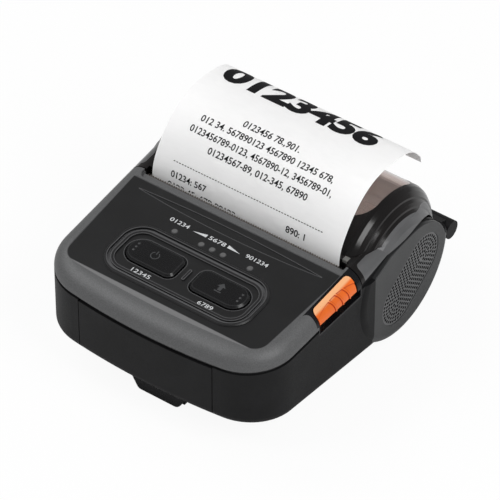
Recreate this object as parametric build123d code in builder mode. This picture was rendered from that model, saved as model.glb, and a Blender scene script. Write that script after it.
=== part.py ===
from build123d import *
from math import acos, atan2, cos, degrees, hypot, pi, radians, sin, tan
import os

os.makedirs("parts", exist_ok=True)

# Mobile receipt printer. Millimetres, X to the right, Y to the rear, Z up from the table.
# The origin lies on the table under the middle of the printer.

# Paper, which the rest is built round
PAPER_HALF = 39.75
PAPER_THICK = 0.2
PAPER_Y = -4.0
PAPER_ROOM = 1.9
ROLL_R = 20.0
CORE_R = 8.0
CORE_BORE_R = 6.35
ROLL_SIDE_GAP = 0.75
ROLL_CLEAR = 0.3
WEB_CLEAR = 0.3
SLOT_SIDE_GAP = 2.75
SLOT_THICK = 0.9

# Case widths
BAY_WALL = 1.5
SIDE_ROOM = 8.4
FRONT_TAPER = 2.3
BAY_HALF = PAPER_HALF + ROLL_SIDE_GAP
LANE_GAP = 0.1
LANE_IN = BAY_HALF + LANE_GAP
LANE_OUT = BAY_HALF + BAY_WALL
HALF_WIDTH = LANE_OUT + SIDE_ROOM
FRONT_HALF = HALF_WIDTH - FRONT_TAPER
SLOT_HALF = PAPER_HALF + SLOT_SIDE_GAP

# Outer form in front of the drum
FRONT_Y = -64.0
FRONT_BOW = 4.65
CORNER_R = 19.0
SIDE_END_INSET = 0.3
TOP_Z = 47.2
TOP_SLOPE = 0.045
BELLY_Z = 6.14
BELLY_SLOPE = -0.114
TOP_EDGE_R = 6.5
BOTTOM_EDGE_R = 3.6
WALL = 2.2
ROOF = 2.4

# Roll drum
DRUM_Y = 22.0
DRUM_R = 28.0
DRUM_LIFT = 0.3
DRUM_Z = DRUM_R + DRUM_LIFT
DRUM_EDGE_R = 4.0
DRUM_SKIN = 1.8
BAY_R = DRUM_R - DRUM_SKIN
ROLL_Y = DRUM_Y + 0.5
ROLL_Z = DRUM_Z - BAY_R + ROLL_R + ROLL_CLEAR

# Lid
LID_PROUD = 1.2
LID_R = DRUM_R + LID_PROUD
LID_WALL = 2.1
LID_GAP = 0.4
LID_RISE = 0.9
LID_FRONT_WALL = 1.7
COVER_REAR_Y = PAPER_Y - 0.2
LID_FRONT_Y = COVER_REAR_Y + LID_GAP
LIP_Y = PAPER_Y + PAPER_ROOM
WINDOW_HALF = PAPER_HALF + 0.25
WINDOW_FRONT = DRUM_Y - 11.5
WINDOW_REAR = DRUM_Y + 23.0
WINDOW_CORNER_R = 8.0
WINDOW_SUNK = 0.15
STRIP_FRONT_Y = LID_FRONT_Y + 1.9
STRIP_NOSE_R = 1.5
TAB_X = PAPER_HALF + 1.05
TAB_HALF = 1.0

# Seam between the tub and what closes it
SEAM_FRONT_Z = TOP_Z - 9.8
SEAM_MID_Y = -4.0
SEAM_MID_Z = TOP_Z - 6.2
SEAM_TURN_Y = 10.0
SEAM_TURN_Z = TOP_Z - 4.2
SEAM_BACK_Y = DRUM_Y + 4.6
SEAM_BACK_Z = TOP_Z - 3.1
SEAM_DROP_Y = DRUM_Y + 24.6
SEAM_DROP_Z = DRUM_Z + 0.3
GASKET_HALF = 0.7
GASKET_INSET = 0.8
TUB_RISE = 0.3

# Side cheeks and their grille fields
CHEEK = 1.6
CHEEK_BACK = 1.6
CHEEK_X = HALF_WIDTH - CHEEK
CHEEK_Y = 3.0
CHEEK_DROP = 0.1
CHEEK_LIP_R = 0.3
DIP_LOW = SEAM_MID_Z - 1.2
DIP_REAR_Y = CHEEK_Y + 10.0
GRILLE_R = 10.3
GRILLE_A = (DRUM_Y - 3.8, DRUM_Z - 9.7)
GRILLE_B = (DRUM_Y + 9.8, DRUM_Z - 1.0)
GRILLE_THICK = 0.8
GRILLE_SUNK = 0.2

# Print mechanism
NIP_GAP = 0.4
HEAD_GAP = 0.2
PLATEN_R = 4.2
PLATEN_Y = PAPER_Y + PLATEN_R + NIP_GAP
PLATEN_Z = TOP_Z - 9.7
PLATEN_HALF = PAPER_HALF + 0.15
SHAFT_R = 1.5
SHAFT_END = LANE_OUT + 1.9
BUSH_R = 3.0
RUN_CLEAR = 0.05
HEAD_Y = PAPER_Y - HEAD_GAP
HEAD_HALF = PAPER_HALF + 0.25
HEAD_THICK = 0.8
SINK_THICK = 1.6
SINK_Y = HEAD_Y - HEAD_THICK
FIN_OUT = 1.8
PLATE = 1.2
BRIDGE_Y = PLATEN_Y - 13.3
FRAME_HALF = LANE_OUT - 0.1
FRAME_TOP = PLATEN_Z + 5.9
FRAME_REAR = PLATEN_Y - 7.5
BRACKET_R = 3.9
GEAR_ROOM_Z = TOP_Z - 3.7
BRACKET_TOP = GEAR_ROOM_Z + 1.1

# Gear train on the left side, from the motor over an idler to the platen
MODULE = 0.5
PRESSURE = radians(20)
PLATEN_TEETH = 20
IDLER_TEETH = 26
PINION_TEETH = 12
BACKLASH = 0.22
GEAR_W = 2.2
GEAR_SIDE_GAP = 2.1
GEAR_X = -(LANE_OUT + GEAR_SIDE_GAP + GEAR_W)
IDLER_LEAN = radians(231)
MOTOR_LEAN = radians(189.5)
IDLER_REACH = MODULE * (PLATEN_TEETH + IDLER_TEETH) / 2
MOTOR_REACH = MODULE * (IDLER_TEETH + PINION_TEETH) / 2
IDLER_Y = PLATEN_Y + IDLER_REACH * cos(IDLER_LEAN)
IDLER_Z = PLATEN_Z + IDLER_REACH * sin(IDLER_LEAN)
MOTOR_Y = IDLER_Y + MOTOR_REACH * cos(MOTOR_LEAN)
MOTOR_Z = IDLER_Z + MOTOR_REACH * sin(MOTOR_LEAN)
IDLER_PIN_R = 1.0
IDLER_BOSS_R = 2.6
MOTOR_SHAFT_R = 1.0
MOTOR_R = 8.5
MOTOR_LONG = 16.0

# Latch that holds the ends of the platen shaft
LATCH_Y = PLATEN_Y - 9.1
LATCH_Z = PLATEN_Z - 20.5
FRAME_FOOT = LATCH_Z - 4.5
HOOK_X = LANE_OUT + 0.4
HOOK_W = 1.2
HOOK_HUB_R = 3.0
HOOK_LIFT = 0.3
CRANK_Y = LATCH_Y - 14.0
CRANK_LONG = 1.5

# Panel, buttons and lamps
PANEL_THICK = 0.8
PANEL_SUNK = 0.15
PANEL_REAR = PAPER_Y - 4.7
PANEL_REAR_HALF = HALF_WIDTH - 6.1
PANEL_FRONT = FRONT_Y + 10.2
PANEL_FRONT_HALF = FRONT_HALF - 6.3
PANEL_BOW = 2.45
PANEL_CORNER_R = 6.0
FACET_Y = FRONT_Y + 9.9
FACET_SLOPE = 0.18
BUTTON_X = 14.2
BUTTON_Y = FRONT_Y + 26.5
BUTTON_L = 21.5
BUTTON_W = 11.0
BUTTON_OUTER_R = 5.4
BUTTON_INNER_R = 3.0
BUTTON_BEVEL = 0.7
BUTTON_PROUD = 0.7
BUTTON_GAP = 0.6
BUTTON_TRAVEL = 0.8
FLANGE = 1.0
FLANGE_GAP = 0.2
FLANGE_OUT = 0.9
STEM_R = 1.5
RING_HALF_X = 30.8
RING_HALF_Y = 12.8
RING_Y = BUTTON_Y - 0.8
RING_R = 9.5
RING_W = 1.3
RING_PROUD = 0.6
RING_BEVEL = 0.4
GROOVE = 0.5
LENS_HALF = 39.0
LENS_Y = PANEL_REAR - 4.3
LED_Y = BUTTON_Y + 14.3
LED_R = 0.95
LED_XS = (-16.0, -4.6, 0.0, 4.6, 16.0)
LED_HIGH = 0.8

# Circuit board
BOARD_TOP = TOP_Z - 9.1
BOARD_THICK = 1.2
BOARD_UNDER = BOARD_TOP - BOARD_THICK
BOARD_HALF = FRONT_HALF - 8.1
BOARD_FRONT = FRONT_Y + 11.0
BOARD_REAR = BRIDGE_Y - 1.3
SWITCH_H = 2.0
SOCKET_Y = FRONT_Y + 20.4
SOCKET_Z = BOARD_UNDER - 4.9
SOCKET_R = 3.2
SOCKET_X = HALF_WIDTH - 5.4
DATA_Y = FRONT_Y + 34.8
DATA_X = HALF_WIDTH - 4.0
DATA_HALF = 4.2

# Tear bar
TEAR_HALF = SLOT_HALF - 1.0
TEAR_BOTTOM = TOP_Z - 3.9
TEAR_TOP = TOP_Z - 1.3
TOOTH_H = 1.1
TOOTH_PITCH = 1.0
TROUGH = 1.1
TROUGH_LONG = 10.0

# Opening lever with its bezel and pocket
LEVER_SKIN = 1.6
LEVER_X = HALF_WIDTH - 5.6
LEVER_FRONT = -27.8
LEVER_REAR = -6.7
LEVER_BOTTOM = TOP_Z - 6.6
LEVER_CORNER_R = 2.0
LEVER_GAP = 0.35
RIDGE = 0.3
RIDGE_W = 0.55
RIDGE_ENDS = (-1.5, 2.5, 6.2)
SCOOP_HALF = 10.5
BEZEL_X = HALF_WIDTH - 6.5
BEZEL_FRONT = LEVER_FRONT - 1.7
BEZEL_NOSE = 2.4
POCKET_BOTTOM = TOP_Z - 10.0
POCKET_X = HALF_WIDTH - 3.8
POCKET_WALL = 0.8
POCKET_END = 0.5
LEG_X = HALF_WIDTH - 5.8
LEG_W = 1.3
LEG_FOOT = LATCH_Z + 3.9
SPRING_TOP = TOP_Z - 9.3
SPRING_LEG_Y = LEVER_REAR - 4.3
SPRING_FOOT_Y = LEVER_REAR - 12.8
SPRING_FOOT_Z = SPRING_TOP - 4.7

# Hinge
HINGE_Y = DRUM_Y + DRUM_R + 10.3
HINGE_Z = 16.5
BARREL_R = 3.6
BARREL_CAP = 1.0
ROD_R = 1.5
LUG_IN = LANE_OUT - 8.0
BARREL_END = LANE_OUT + 2.5
HINGE_SIDE_GAP = 0.5
LID_ARM_IN = 20.0
LID_ARM_OUT = LUG_IN - 2.0

# Battery pack
BATTERY_HALF = 26.5
BATTERY_REAR = -27.5
BATTERY_LOW = 2.4
BATTERY_HIGH = 22.2
CAP_HALF = BATTERY_HALF + 1.7
CAP_GAP = 0.3
CAP_BOTTOM = BELLY_Z + BELLY_SLOPE * FRONT_Y + 1.8
CAP_TOP = SEAM_FRONT_Z - 1.2
CAP_THICK = 3.5
CAP_BACK_Y = FRONT_Y + 5.5

# Belt clip
CLIP_Y = 2.5
CLIP_Z = 3.4
CLIP_PIN_R = 1.0
CLIP_BOSS_R = 1.8
CLIP_LOW = 1.6
CLIP_THICK = 2.2
CLIP_ARM_HALF = 9.4
CLIP_TIP_Y = FRONT_Y + 8.0
CLIP_TIP_HALF = 11.6
CLIP_TIP_FOOT = 8.5
CLIP_TIP_LONG = 5.0
CLIP_TIP_R = 2.4
CLIP_EDGE_R = 1.2
CLIP_GAP = 0.4
CLIP_LUG_IN = CLIP_ARM_HALF + 0.6
CLIP_LUG_W = 2.0

# Feet and screws
FOOT_X = PAPER_HALF - 9.75
FOOT_L = 20.0
FOOT_W = 7.0
FOOT_SINK = 1.4
SCREW_SPOTS = (
    (7.2 - HALF_WIDTH, FRONT_Y + 28.0),
    (HALF_WIDTH - 7.2, FRONT_Y + 28.0),
    (15.1 - FRONT_HALF, FRONT_Y + 7.8),
    (FRONT_HALF - 15.1, FRONT_Y + 7.8),
)
SCREW_R = 1.0
SCREW_HEAD_R = 1.9
SCREW_HEAD_H = 1.5
SCREW_HEAD_GAP = 0.15
SCREW_HEAD_Z = SEAM_FRONT_Z - 10.4
SCREW_TOP = SEAM_FRONT_Z + 3.6
BOSS_R = 2.7

# Reference geometry
FAR = 75.0
TOP = Plane(origin=(0, 0, TOP_Z), x_dir=(1, 0, 0), z_dir=(0, -TOP_SLOPE, 1))
DRUM_AXIS = Axis((0, DRUM_Y, DRUM_Z), (1, 0, 0))
DRUM_PLANE = Plane(origin=(0, DRUM_Y, DRUM_Z), x_dir=(1, 0, 0), z_dir=(0, -1, 0))
STANDING = (Align.CENTER, Align.CENTER, Align.MIN)


def top_z(y):
    """Height of the sloping top at depth y."""
    return TOP_Z + TOP_SLOPE * y


def belly_z(y):
    """Height of the sloping underside at depth y."""
    return BELLY_Z + BELLY_SLOPE * y


def on_top(lift=0.0):
    """Plane parallel to the sloping top, lifted by lift."""
    return TOP.offset(lift)


def save(part, label):
    """Name a piece and write its file."""
    part.label = label
    export_step(part, f"parts/{label}.step")


def box(x0, x1, y0, y1, z0, z1):
    """A plain block between two corners, mostly used as a cutting or keeping region."""
    size = Box(x1 - x0, y1 - y0, z1 - z0, mode=Mode.PRIVATE)
    return Pos((x0 + x1) / 2, (y0 + y1) / 2, (z0 + z1) / 2) * size


def rod(x0, x1, y, z, radius):
    """A round bar along X."""
    bar = Cylinder(radius, x1 - x0, rotation=(0, 90, 0), mode=Mode.PRIVATE)
    return Pos((x0 + x1) / 2, y, z) * bar


def tube(x0, x1, y, z, outer, bore):
    """A round bar along X with a bore."""
    with BuildPart() as piece:
        add(rod(x0, x1, y, z, outer))
        add(rod(x0, x1, y, z, bore), mode=Mode.SUBTRACT)
    return piece.part


def side_profile(points, x0, x1):
    """A (y, z) outline drawn out from x0 to x1."""
    with BuildPart() as slab:
        with BuildSketch(Plane.YZ.offset(x0)):
            with BuildLine():
                Polyline(*points, close=True)
            make_face()
        extrude(amount=x1 - x0)
    return slab.part


def bent_strip(points, thick, x0, x1):
    """Sheet of even thickness that follows a (y, z) line from x0 to x1."""
    with BuildPart() as strip:
        with BuildSketch(Plane.YZ.offset(x0)):
            with BuildLine() as path:
                Polyline(*points)
            trace(path.line, thick)
        extrude(amount=x1 - x0)
    return strip.part


def rounded_plan(x0, x1, y0, y1, radius, z0, z1):
    """A block with rounded upright corners."""
    with BuildPart() as block:
        with BuildSketch(Plane.XY.offset(z0)):
            with Locations(((x0 + x1) / 2, (y0 + y1) / 2)):
                RectangleRounded(x1 - x0, y1 - y0, radius)
        extrude(amount=z1 - z0)
    return block.part


def both_sides(part):
    """A piece together with its mirror image on the left."""
    return [part, mirror(part, about=Plane.YZ)]


def front_form(inset):
    """The body in front of the drum: bowed plan, sloping top and belly, all edges rounded."""
    with BuildPart() as form:
        with BuildSketch():
            with BuildLine():
                corner = (FRONT_HALF, FRONT_Y + FRONT_BOW)
                rear = (HALF_WIDTH - SIDE_END_INSET, DRUM_Y)
                ThreePointArc((-corner[0], corner[1]), (0, FRONT_Y), corner)
                Line(corner, rear)
                Line(rear, (-rear[0], rear[1]))
                Line((-rear[0], rear[1]), (-corner[0], corner[1]))
            face = make_face()
            fillet(face.vertices().sort_by(Axis.Y)[:2], CORNER_R)
            if inset:
                offset(amount=-inset, kind=Kind.INTERSECTION, mode=Mode.REPLACE)
        extrude(amount=FAR)
        with BuildSketch(Plane.YZ):
            with BuildLine():
                Polyline(
                    (-FAR, belly_z(-FAR) + inset),
                    (FAR, belly_z(FAR) + inset),
                    (FAR, top_z(FAR) - inset),
                    (-FAR, top_z(-FAR) - inset),
                    close=True,
                )
            make_face()
        extrude(amount=FAR, both=True, mode=Mode.INTERSECT)
        rounded = Axis.Y, -FAR, DRUM_Y - inset - 1
        by_height = form.faces().sort_by(Axis.Z)
        fillet(by_height[-1].edges().filter_by_position(*rounded), TOP_EDGE_R - inset)
        by_height = form.faces().sort_by(Axis.Z)
        fillet(by_height[0].edges().filter_by_position(*rounded), BOTTOM_EDGE_R - inset)
    return form.part


def about_drum(profile):
    """A body of revolution about the drum's axis from (x, radius) points of its right half."""
    with BuildPart() as body:
        with BuildSketch(DRUM_PLANE):
            with BuildLine():
                Polyline((0, 0), *profile, close=True)
            make_face()
            mirror(about=Plane.YZ)
        revolve(axis=DRUM_AXIS)
    return body.part


def lower_form(inset, end_inset):
    """Whole outer form of the tub before the seam cut, or the same drawn in by its walls."""
    with BuildPart() as drum:
        with Locations((0, DRUM_Y, DRUM_Z)):
            Cylinder(DRUM_R - inset, 2 * (HALF_WIDTH - end_inset), rotation=(0, 90, 0))
        fillet(drum.edges().filter_by(GeomType.CIRCLE), DRUM_EDGE_R - inset)
    with BuildPart() as form:
        add(front_form(inset))
        add(drum.part)
    return form.part


# Profiles of the lid's hood and of its hollow: distance in from the side, drop from the crown
SHOULDER = (
    (10.8, 0.0),
    (9.2, 0.5),
    (7.8, 1.6),
    (6.4, 3.1),
    (6.2, 3.8),
    (5.3, 4.7),
    (4.5, 5.8),
    (4.3, 6.5),
    (2.5, 8.3),
    (1.0, 10.5),
    (0.1, 12.7),
)
HOLLOW = ((11.0, 0.0), (8.4, 2.2), (4.1, 6.9), (2.2, 13.1))


def hood(profile, crown, form):
    """The hood of the lid together with the top of the front form that it runs into."""
    outline = [(HALF_WIDTH - inset, crown - drop) for inset, drop in profile]
    with BuildPart() as body:
        add(form)
        add(about_drum(((0, crown), *outline, (outline[-1][0], 0))))
    return body.part


def over_seam(rise, back=0.0):
    """Everything above the seam line when that line is moved up by rise and back by back."""
    with BuildPart() as region:
        with BuildSketch(Plane.YZ):
            with BuildLine():
                start = (-FAR, SEAM_FRONT_Z - 0.5 + rise)
                front = (FRONT_Y, SEAM_FRONT_Z + rise)
                middle = (SEAM_MID_Y + back, SEAM_MID_Z + rise)
                turn = (SEAM_TURN_Y + back, SEAM_TURN_Z + rise)
                crest = (SEAM_BACK_Y + back, SEAM_BACK_Z + rise)
                foot = (SEAM_DROP_Y + back, SEAM_DROP_Z + rise)
                rear = (FAR, SEAM_DROP_Z + 0.5 + rise)
                Line(start, front)
                Spline(front, middle, turn, crest, tangents=[(1, 0.045), (1, 0)])
                TangentArc(crest, foot, tangent=(1, 0))
                Polyline(foot, rear, (FAR, 2 * FAR), (-FAR, 2 * FAR), start)
            make_face()
        extrude(amount=FAR, both=True)
    return region.part


# Forms that several pieces share
FRONT = front_form(0)
WALL_INNER = front_form(WALL)
ROOF_INNER = front_form(ROOF)
SKIN_INNER = front_form(LEVER_SKIN)
SMOOTH = lower_form(0, 0)
INNER = lower_form(WALL, CHEEK + CHEEK_BACK)
LID_OUTER = hood(SHOULDER, LID_R, FRONT)
LID_INNER = hood(HOLLOW, LID_R - LID_WALL, front_form(LID_WALL))
OVER_GASKET = over_seam(GASKET_HALF)
OVER_RIM = over_seam(-GASKET_HALF)
OVER_TUB = over_seam(TUB_RISE)
OVER_LID = over_seam(LID_RISE, LID_GAP)
OVER_CHEEK = over_seam(-CHEEK_DROP)
IN_FRONT = box(-FAR, FAR, -FAR, COVER_REAR_Y, 0, FAR)
DIP = (
    (COVER_REAR_Y, DIP_LOW),
    (CHEEK_Y, DIP_LOW - 0.4),
    (DIP_REAR_Y, SEAM_TURN_Z + 0.2),
    (DIP_REAR_Y, FAR),
    (COVER_REAR_Y, FAR),
)
RIM_DIP = side_profile(DIP, CHEEK_X, FAR)

# Lever opening: the notch for lever and bezel, the hole for the lever and the pocket below it
with BuildPart() as lever_notch:
    with BuildSketch(Plane.XY.offset(LEVER_BOTTOM)):
        with BuildLine():
            nose = (BEZEL_X + BEZEL_NOSE, BEZEL_FRONT)
            root = (BEZEL_X, BEZEL_FRONT - BEZEL_NOSE)
            Polyline(root, (BEZEL_X, LID_FRONT_Y), (FAR, LID_FRONT_Y), (FAR, BEZEL_FRONT), nose)
            ThreePointArc(nose, (BEZEL_X + 0.3 * BEZEL_NOSE, BEZEL_FRONT - 0.3 * BEZEL_NOSE), root)
        make_face()
    extrude(amount=FAR)
LEVER_NOTCH = lever_notch.part
LEVER_HOLE = rounded_plan(
    LEVER_X - LEVER_GAP,
    FAR,
    LEVER_FRONT - LEVER_GAP,
    LEVER_REAR + LEVER_GAP,
    LEVER_CORNER_R + LEVER_GAP,
    POCKET_BOTTOM + 0.3,
    FAR,
)
POCKET_FRONT = LEVER_FRONT - LEVER_GAP - POCKET_END
POCKET = box(POCKET_X, FAR, POCKET_FRONT, COVER_REAR_Y, POCKET_BOTTOM - POCKET_WALL, LEVER_BOTTOM + 0.1)
LEVER_LOW = box(POCKET_X, FAR, POCKET_FRONT, COVER_REAR_Y, 0, LEVER_BOTTOM + 0.1)

# Tub: shell, roll bay, posts and rails, hinge lugs and the lugs of the belt clip
with BuildPart() as bay:
    add(rod(-LANE_OUT, LANE_OUT, DRUM_Y, DRUM_Z, BAY_R + BAY_WALL))
    add(box(-FAR, FAR, -FAR, DRUM_Y - 13.5, DRUM_Z + 2.2, FAR), mode=Mode.SUBTRACT)
    add(box(-FAR, FAR, -FAR, FAR, DRUM_Z + 12.7, FAR), mode=Mode.SUBTRACT)

with BuildPart() as tub_posts:
    with Locations(*SCREW_SPOTS):
        Cylinder(BOSS_R, SEAM_FRONT_Z, align=STANDING)
    for y in (BOARD_FRONT + 4, BOARD_REAR - 16):
        with Locations((9 - BOARD_HALF, y), (BOARD_HALF - 9, y)):
            Cylinder(2.0, BOARD_UNDER, align=STANDING)
    frame_foot_y = BRIDGE_Y - 0.3, FRAME_REAR + 0.9
    for piece in both_sides(box(FRAME_HALF - 5.2, FRAME_HALF, *frame_foot_y, 0, FRAME_FOOT)):
        add(piece)
    spring_ledge_y = SPRING_FOOT_Y - 1, SPRING_FOOT_Y + 2.5
    add(box(LEG_X - 0.3, HALF_WIDTH - 2, *spring_ledge_y, SPRING_FOOT_Z - 1.4, SPRING_FOOT_Z - 0.2))
    for piece in both_sides(box(BATTERY_HALF + 0.3, BATTERY_HALF + 1.5, FRONT_Y + 6, BATTERY_REAR, 0, 20)):
        add(piece)
    add(SMOOTH, mode=Mode.INTERSECT)

HINGE_LUG = (
    (DRUM_Y + 26.4, DRUM_Z - 3.3),
    (HINGE_Y, HINGE_Z + BARREL_R),
    (HINGE_Y, HINGE_Z - BARREL_R),
    (DRUM_Y + 22.5, HINGE_Z - 6.0),
)
CLIP_LUG = (
    (CLIP_Y - 4.3, belly_z(CLIP_Y) + 1.2),
    (CLIP_Y - CLIP_BOSS_R + 0.1, CLIP_Z - 0.6),
    (CLIP_Y + CLIP_BOSS_R - 0.1, CLIP_Z - 0.6),
    (CLIP_Y + 4.0, belly_z(CLIP_Y) + 0.7),
)
CLIP_LUG_OUT = CLIP_LUG_IN + CLIP_LUG_W
BARREL_BORE_END = BARREL_END - BARREL_CAP

with BuildPart() as lower_case:
    add(SMOOTH)
    add(INNER, mode=Mode.SUBTRACT)
    add(bay.part)
    add(tub_posts.part)
    add(rod(2.4 - HALF_WIDTH, GEAR_X - 0.2, IDLER_Y, IDLER_Z, IDLER_BOSS_R))
    for piece in both_sides(side_profile(HINGE_LUG, LUG_IN + 1, LANE_OUT)):
        add(piece)
    for piece in both_sides(rod(LUG_IN, BARREL_END, HINGE_Y, HINGE_Z, BARREL_R)):
        add(piece)
    for piece in both_sides(side_profile(CLIP_LUG, CLIP_LUG_IN, CLIP_LUG_OUT)):
        add(piece)
    for piece in both_sides(rod(CLIP_LUG_IN, CLIP_LUG_OUT, CLIP_Y, CLIP_Z, CLIP_BOSS_R)):
        add(piece)
    add(rod(-BAY_HALF, BAY_HALF, DRUM_Y, DRUM_Z, BAY_R), mode=Mode.SUBTRACT)
    add(OVER_TUB, mode=Mode.SUBTRACT)
    add(OVER_RIM & IN_FRONT, mode=Mode.SUBTRACT)
    for piece in both_sides(RIM_DIP):
        add(piece, mode=Mode.SUBTRACT)
    for piece in both_sides(box(CHEEK_X, FAR, CHEEK_Y, FAR, 0, FAR)):
        add(piece, mode=Mode.SUBTRACT)
    cap_half = CAP_HALF + CAP_GAP
    cap_low = CAP_BOTTOM - CAP_GAP
    add(box(-cap_half, cap_half, -FAR, CAP_BACK_Y + 0.5, cap_low, FAR), mode=Mode.SUBTRACT)
    add(POCKET, mode=Mode.SUBTRACT)
    for piece in both_sides(rod(LUG_IN, BARREL_BORE_END, HINGE_Y, HINGE_Z, ROD_R)):
        add(piece, mode=Mode.SUBTRACT)
    add(rod(-CLIP_LUG_OUT, CLIP_LUG_OUT, CLIP_Y, CLIP_Z, CLIP_PIN_R), mode=Mode.SUBTRACT)
    add(rod(GEAR_X - 1.5, 0, IDLER_Y, IDLER_Z, IDLER_PIN_R), mode=Mode.SUBTRACT)
    add(rod(-HALF_WIDTH, -SOCKET_X, SOCKET_Y, SOCKET_Z, SOCKET_R), mode=Mode.SUBTRACT)
    data_hole = box(
        -HALF_WIDTH, -SOCKET_X, DATA_Y - DATA_HALF, DATA_Y + DATA_HALF, BOARD_UNDER - 3.7, BOARD_UNDER - 0.9
    )
    add(data_hole, mode=Mode.SUBTRACT)
    with Locations(*SCREW_SPOTS):
        Cylinder(SCREW_HEAD_R + SCREW_HEAD_GAP, SCREW_HEAD_Z, align=STANDING, mode=Mode.SUBTRACT)
        Cylinder(SCREW_R, SCREW_TOP, align=STANDING, mode=Mode.SUBTRACT)
    with Locations((-FOOT_X, DRUM_Y), (FOOT_X, DRUM_Y)):
        Box(FOOT_L, FOOT_W, FOOT_SINK, align=STANDING, mode=Mode.SUBTRACT)
save(lower_case.part, "lower_case")

with BuildPart() as seam_gasket:
    add(front_form(GASKET_INSET))
    add(WALL_INNER, mode=Mode.SUBTRACT)
    add(IN_FRONT, mode=Mode.INTERSECT)
    add(OVER_RIM, mode=Mode.INTERSECT)
    add(OVER_GASKET, mode=Mode.SUBTRACT)
    for region in (LEVER_NOTCH, LEVER_HOLE, POCKET):
        add(region, mode=Mode.SUBTRACT)
save(seam_gasket.part, "seam_gasket")


def button_sketch(grow):
    """Outline of the right button on the current plane, grown all round; its outer corners are rounder."""
    with BuildSketch(mode=Mode.PRIVATE) as outline:
        with Locations((BUTTON_X, BUTTON_Y)):
            Rectangle(BUTTON_L + 2 * grow, BUTTON_W + 2 * grow)
        by_x = outline.vertices().sort_by(Axis.X)
        fillet(by_x[2:], BUTTON_OUTER_R + grow)
        inner_side = BUTTON_X - BUTTON_L / 2 - grow
        fillet(outline.vertices().filter_by_position(Axis.X, -FAR, inner_side + 0.1), BUTTON_INNER_R + grow)
    return outline.sketch


def ring_sketch(outer, inner):
    """Rounded frame round the buttons between two distances inside the ring's outer edge."""
    with BuildSketch(mode=Mode.PRIVATE) as frame:
        with Locations((0, RING_Y)):
            RectangleRounded(2 * (RING_HALF_X - outer), 2 * (RING_HALF_Y - outer), RING_R - outer)
            if inner:
                RectangleRounded(
                    2 * (RING_HALF_X - inner), 2 * (RING_HALF_Y - inner), RING_R - inner, mode=Mode.SUBTRACT
                )
    return frame.sketch


def panel_sketch():
    """Outline of the control panel on the top plane, with its bowed front."""
    with BuildSketch(mode=Mode.PRIVATE) as outline:
        with BuildLine():
            front_left = (-PANEL_FRONT_HALF, PANEL_FRONT)
            front_right = (PANEL_FRONT_HALF, PANEL_FRONT)
            Polyline(front_left, (-PANEL_REAR_HALF, PANEL_REAR), (PANEL_REAR_HALF, PANEL_REAR), front_right)
            ThreePointArc(front_right, (0, PANEL_FRONT - PANEL_BOW), front_left)
        face = make_face()
        fillet(face.vertices().sort_by(Axis.Y)[:2], PANEL_CORNER_R)
    return outline.sketch


def lamp(x):
    """Upright light pipe from its lamp on the board to the top."""
    foot = BOARD_TOP + LED_HIGH
    pipe = Cylinder(LED_R, top_z(LED_Y) - foot, align=STANDING, mode=Mode.PRIVATE)
    return Pos(x, LED_Y, foot) * pipe


with BuildPart() as cover_posts:
    with Locations(*[(x, y, SEAM_FRONT_Z) for x, y in SCREW_SPOTS]):
        Cylinder(BOSS_R, 12, align=STANDING)
    add(front_form(WALL / 2), mode=Mode.INTERSECT)

# Top cover: the band round the panel, with the recess, the slot and the notch for the lever
SLOT_FRONT = PAPER_Y - HEAD_THICK - 0.4
with BuildPart() as top_cover:
    add(FRONT)
    add(ROOF_INNER, mode=Mode.SUBTRACT)
    add(cover_posts.part)
    add(IN_FRONT, mode=Mode.INTERSECT)
    add(OVER_GASKET, mode=Mode.INTERSECT)
    add(box(-SLOT_HALF, SLOT_HALF, SLOT_FRONT, 0, 0, FAR), mode=Mode.SUBTRACT)
    with BuildSketch(on_top()):
        with Locations((0, PAPER_Y + 1)):
            RectangleRounded(2 * SLOT_HALF + 1, TROUGH_LONG, 2.5)
    extrude(amount=-TROUGH, mode=Mode.SUBTRACT)
    with BuildSketch(on_top()):
        add(panel_sketch())
    extrude(amount=-PANEL_THICK - PANEL_SUNK, mode=Mode.SUBTRACT)
    with BuildSketch(on_top()):
        add(button_sketch(BUTTON_GAP))
        mirror(about=Plane.YZ)
    extrude(amount=-2 * ROOF, mode=Mode.SUBTRACT)
    for x in LED_XS:
        add(lamp(x), mode=Mode.SUBTRACT)
    for region in (LEVER_NOTCH, LEVER_HOLE, LEVER_LOW):
        add(region, mode=Mode.SUBTRACT)
    with Locations(*SCREW_SPOTS):
        Cylinder(SCREW_R, SCREW_TOP, align=STANDING, mode=Mode.SUBTRACT)
save(top_cover.part, "top_cover")

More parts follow.
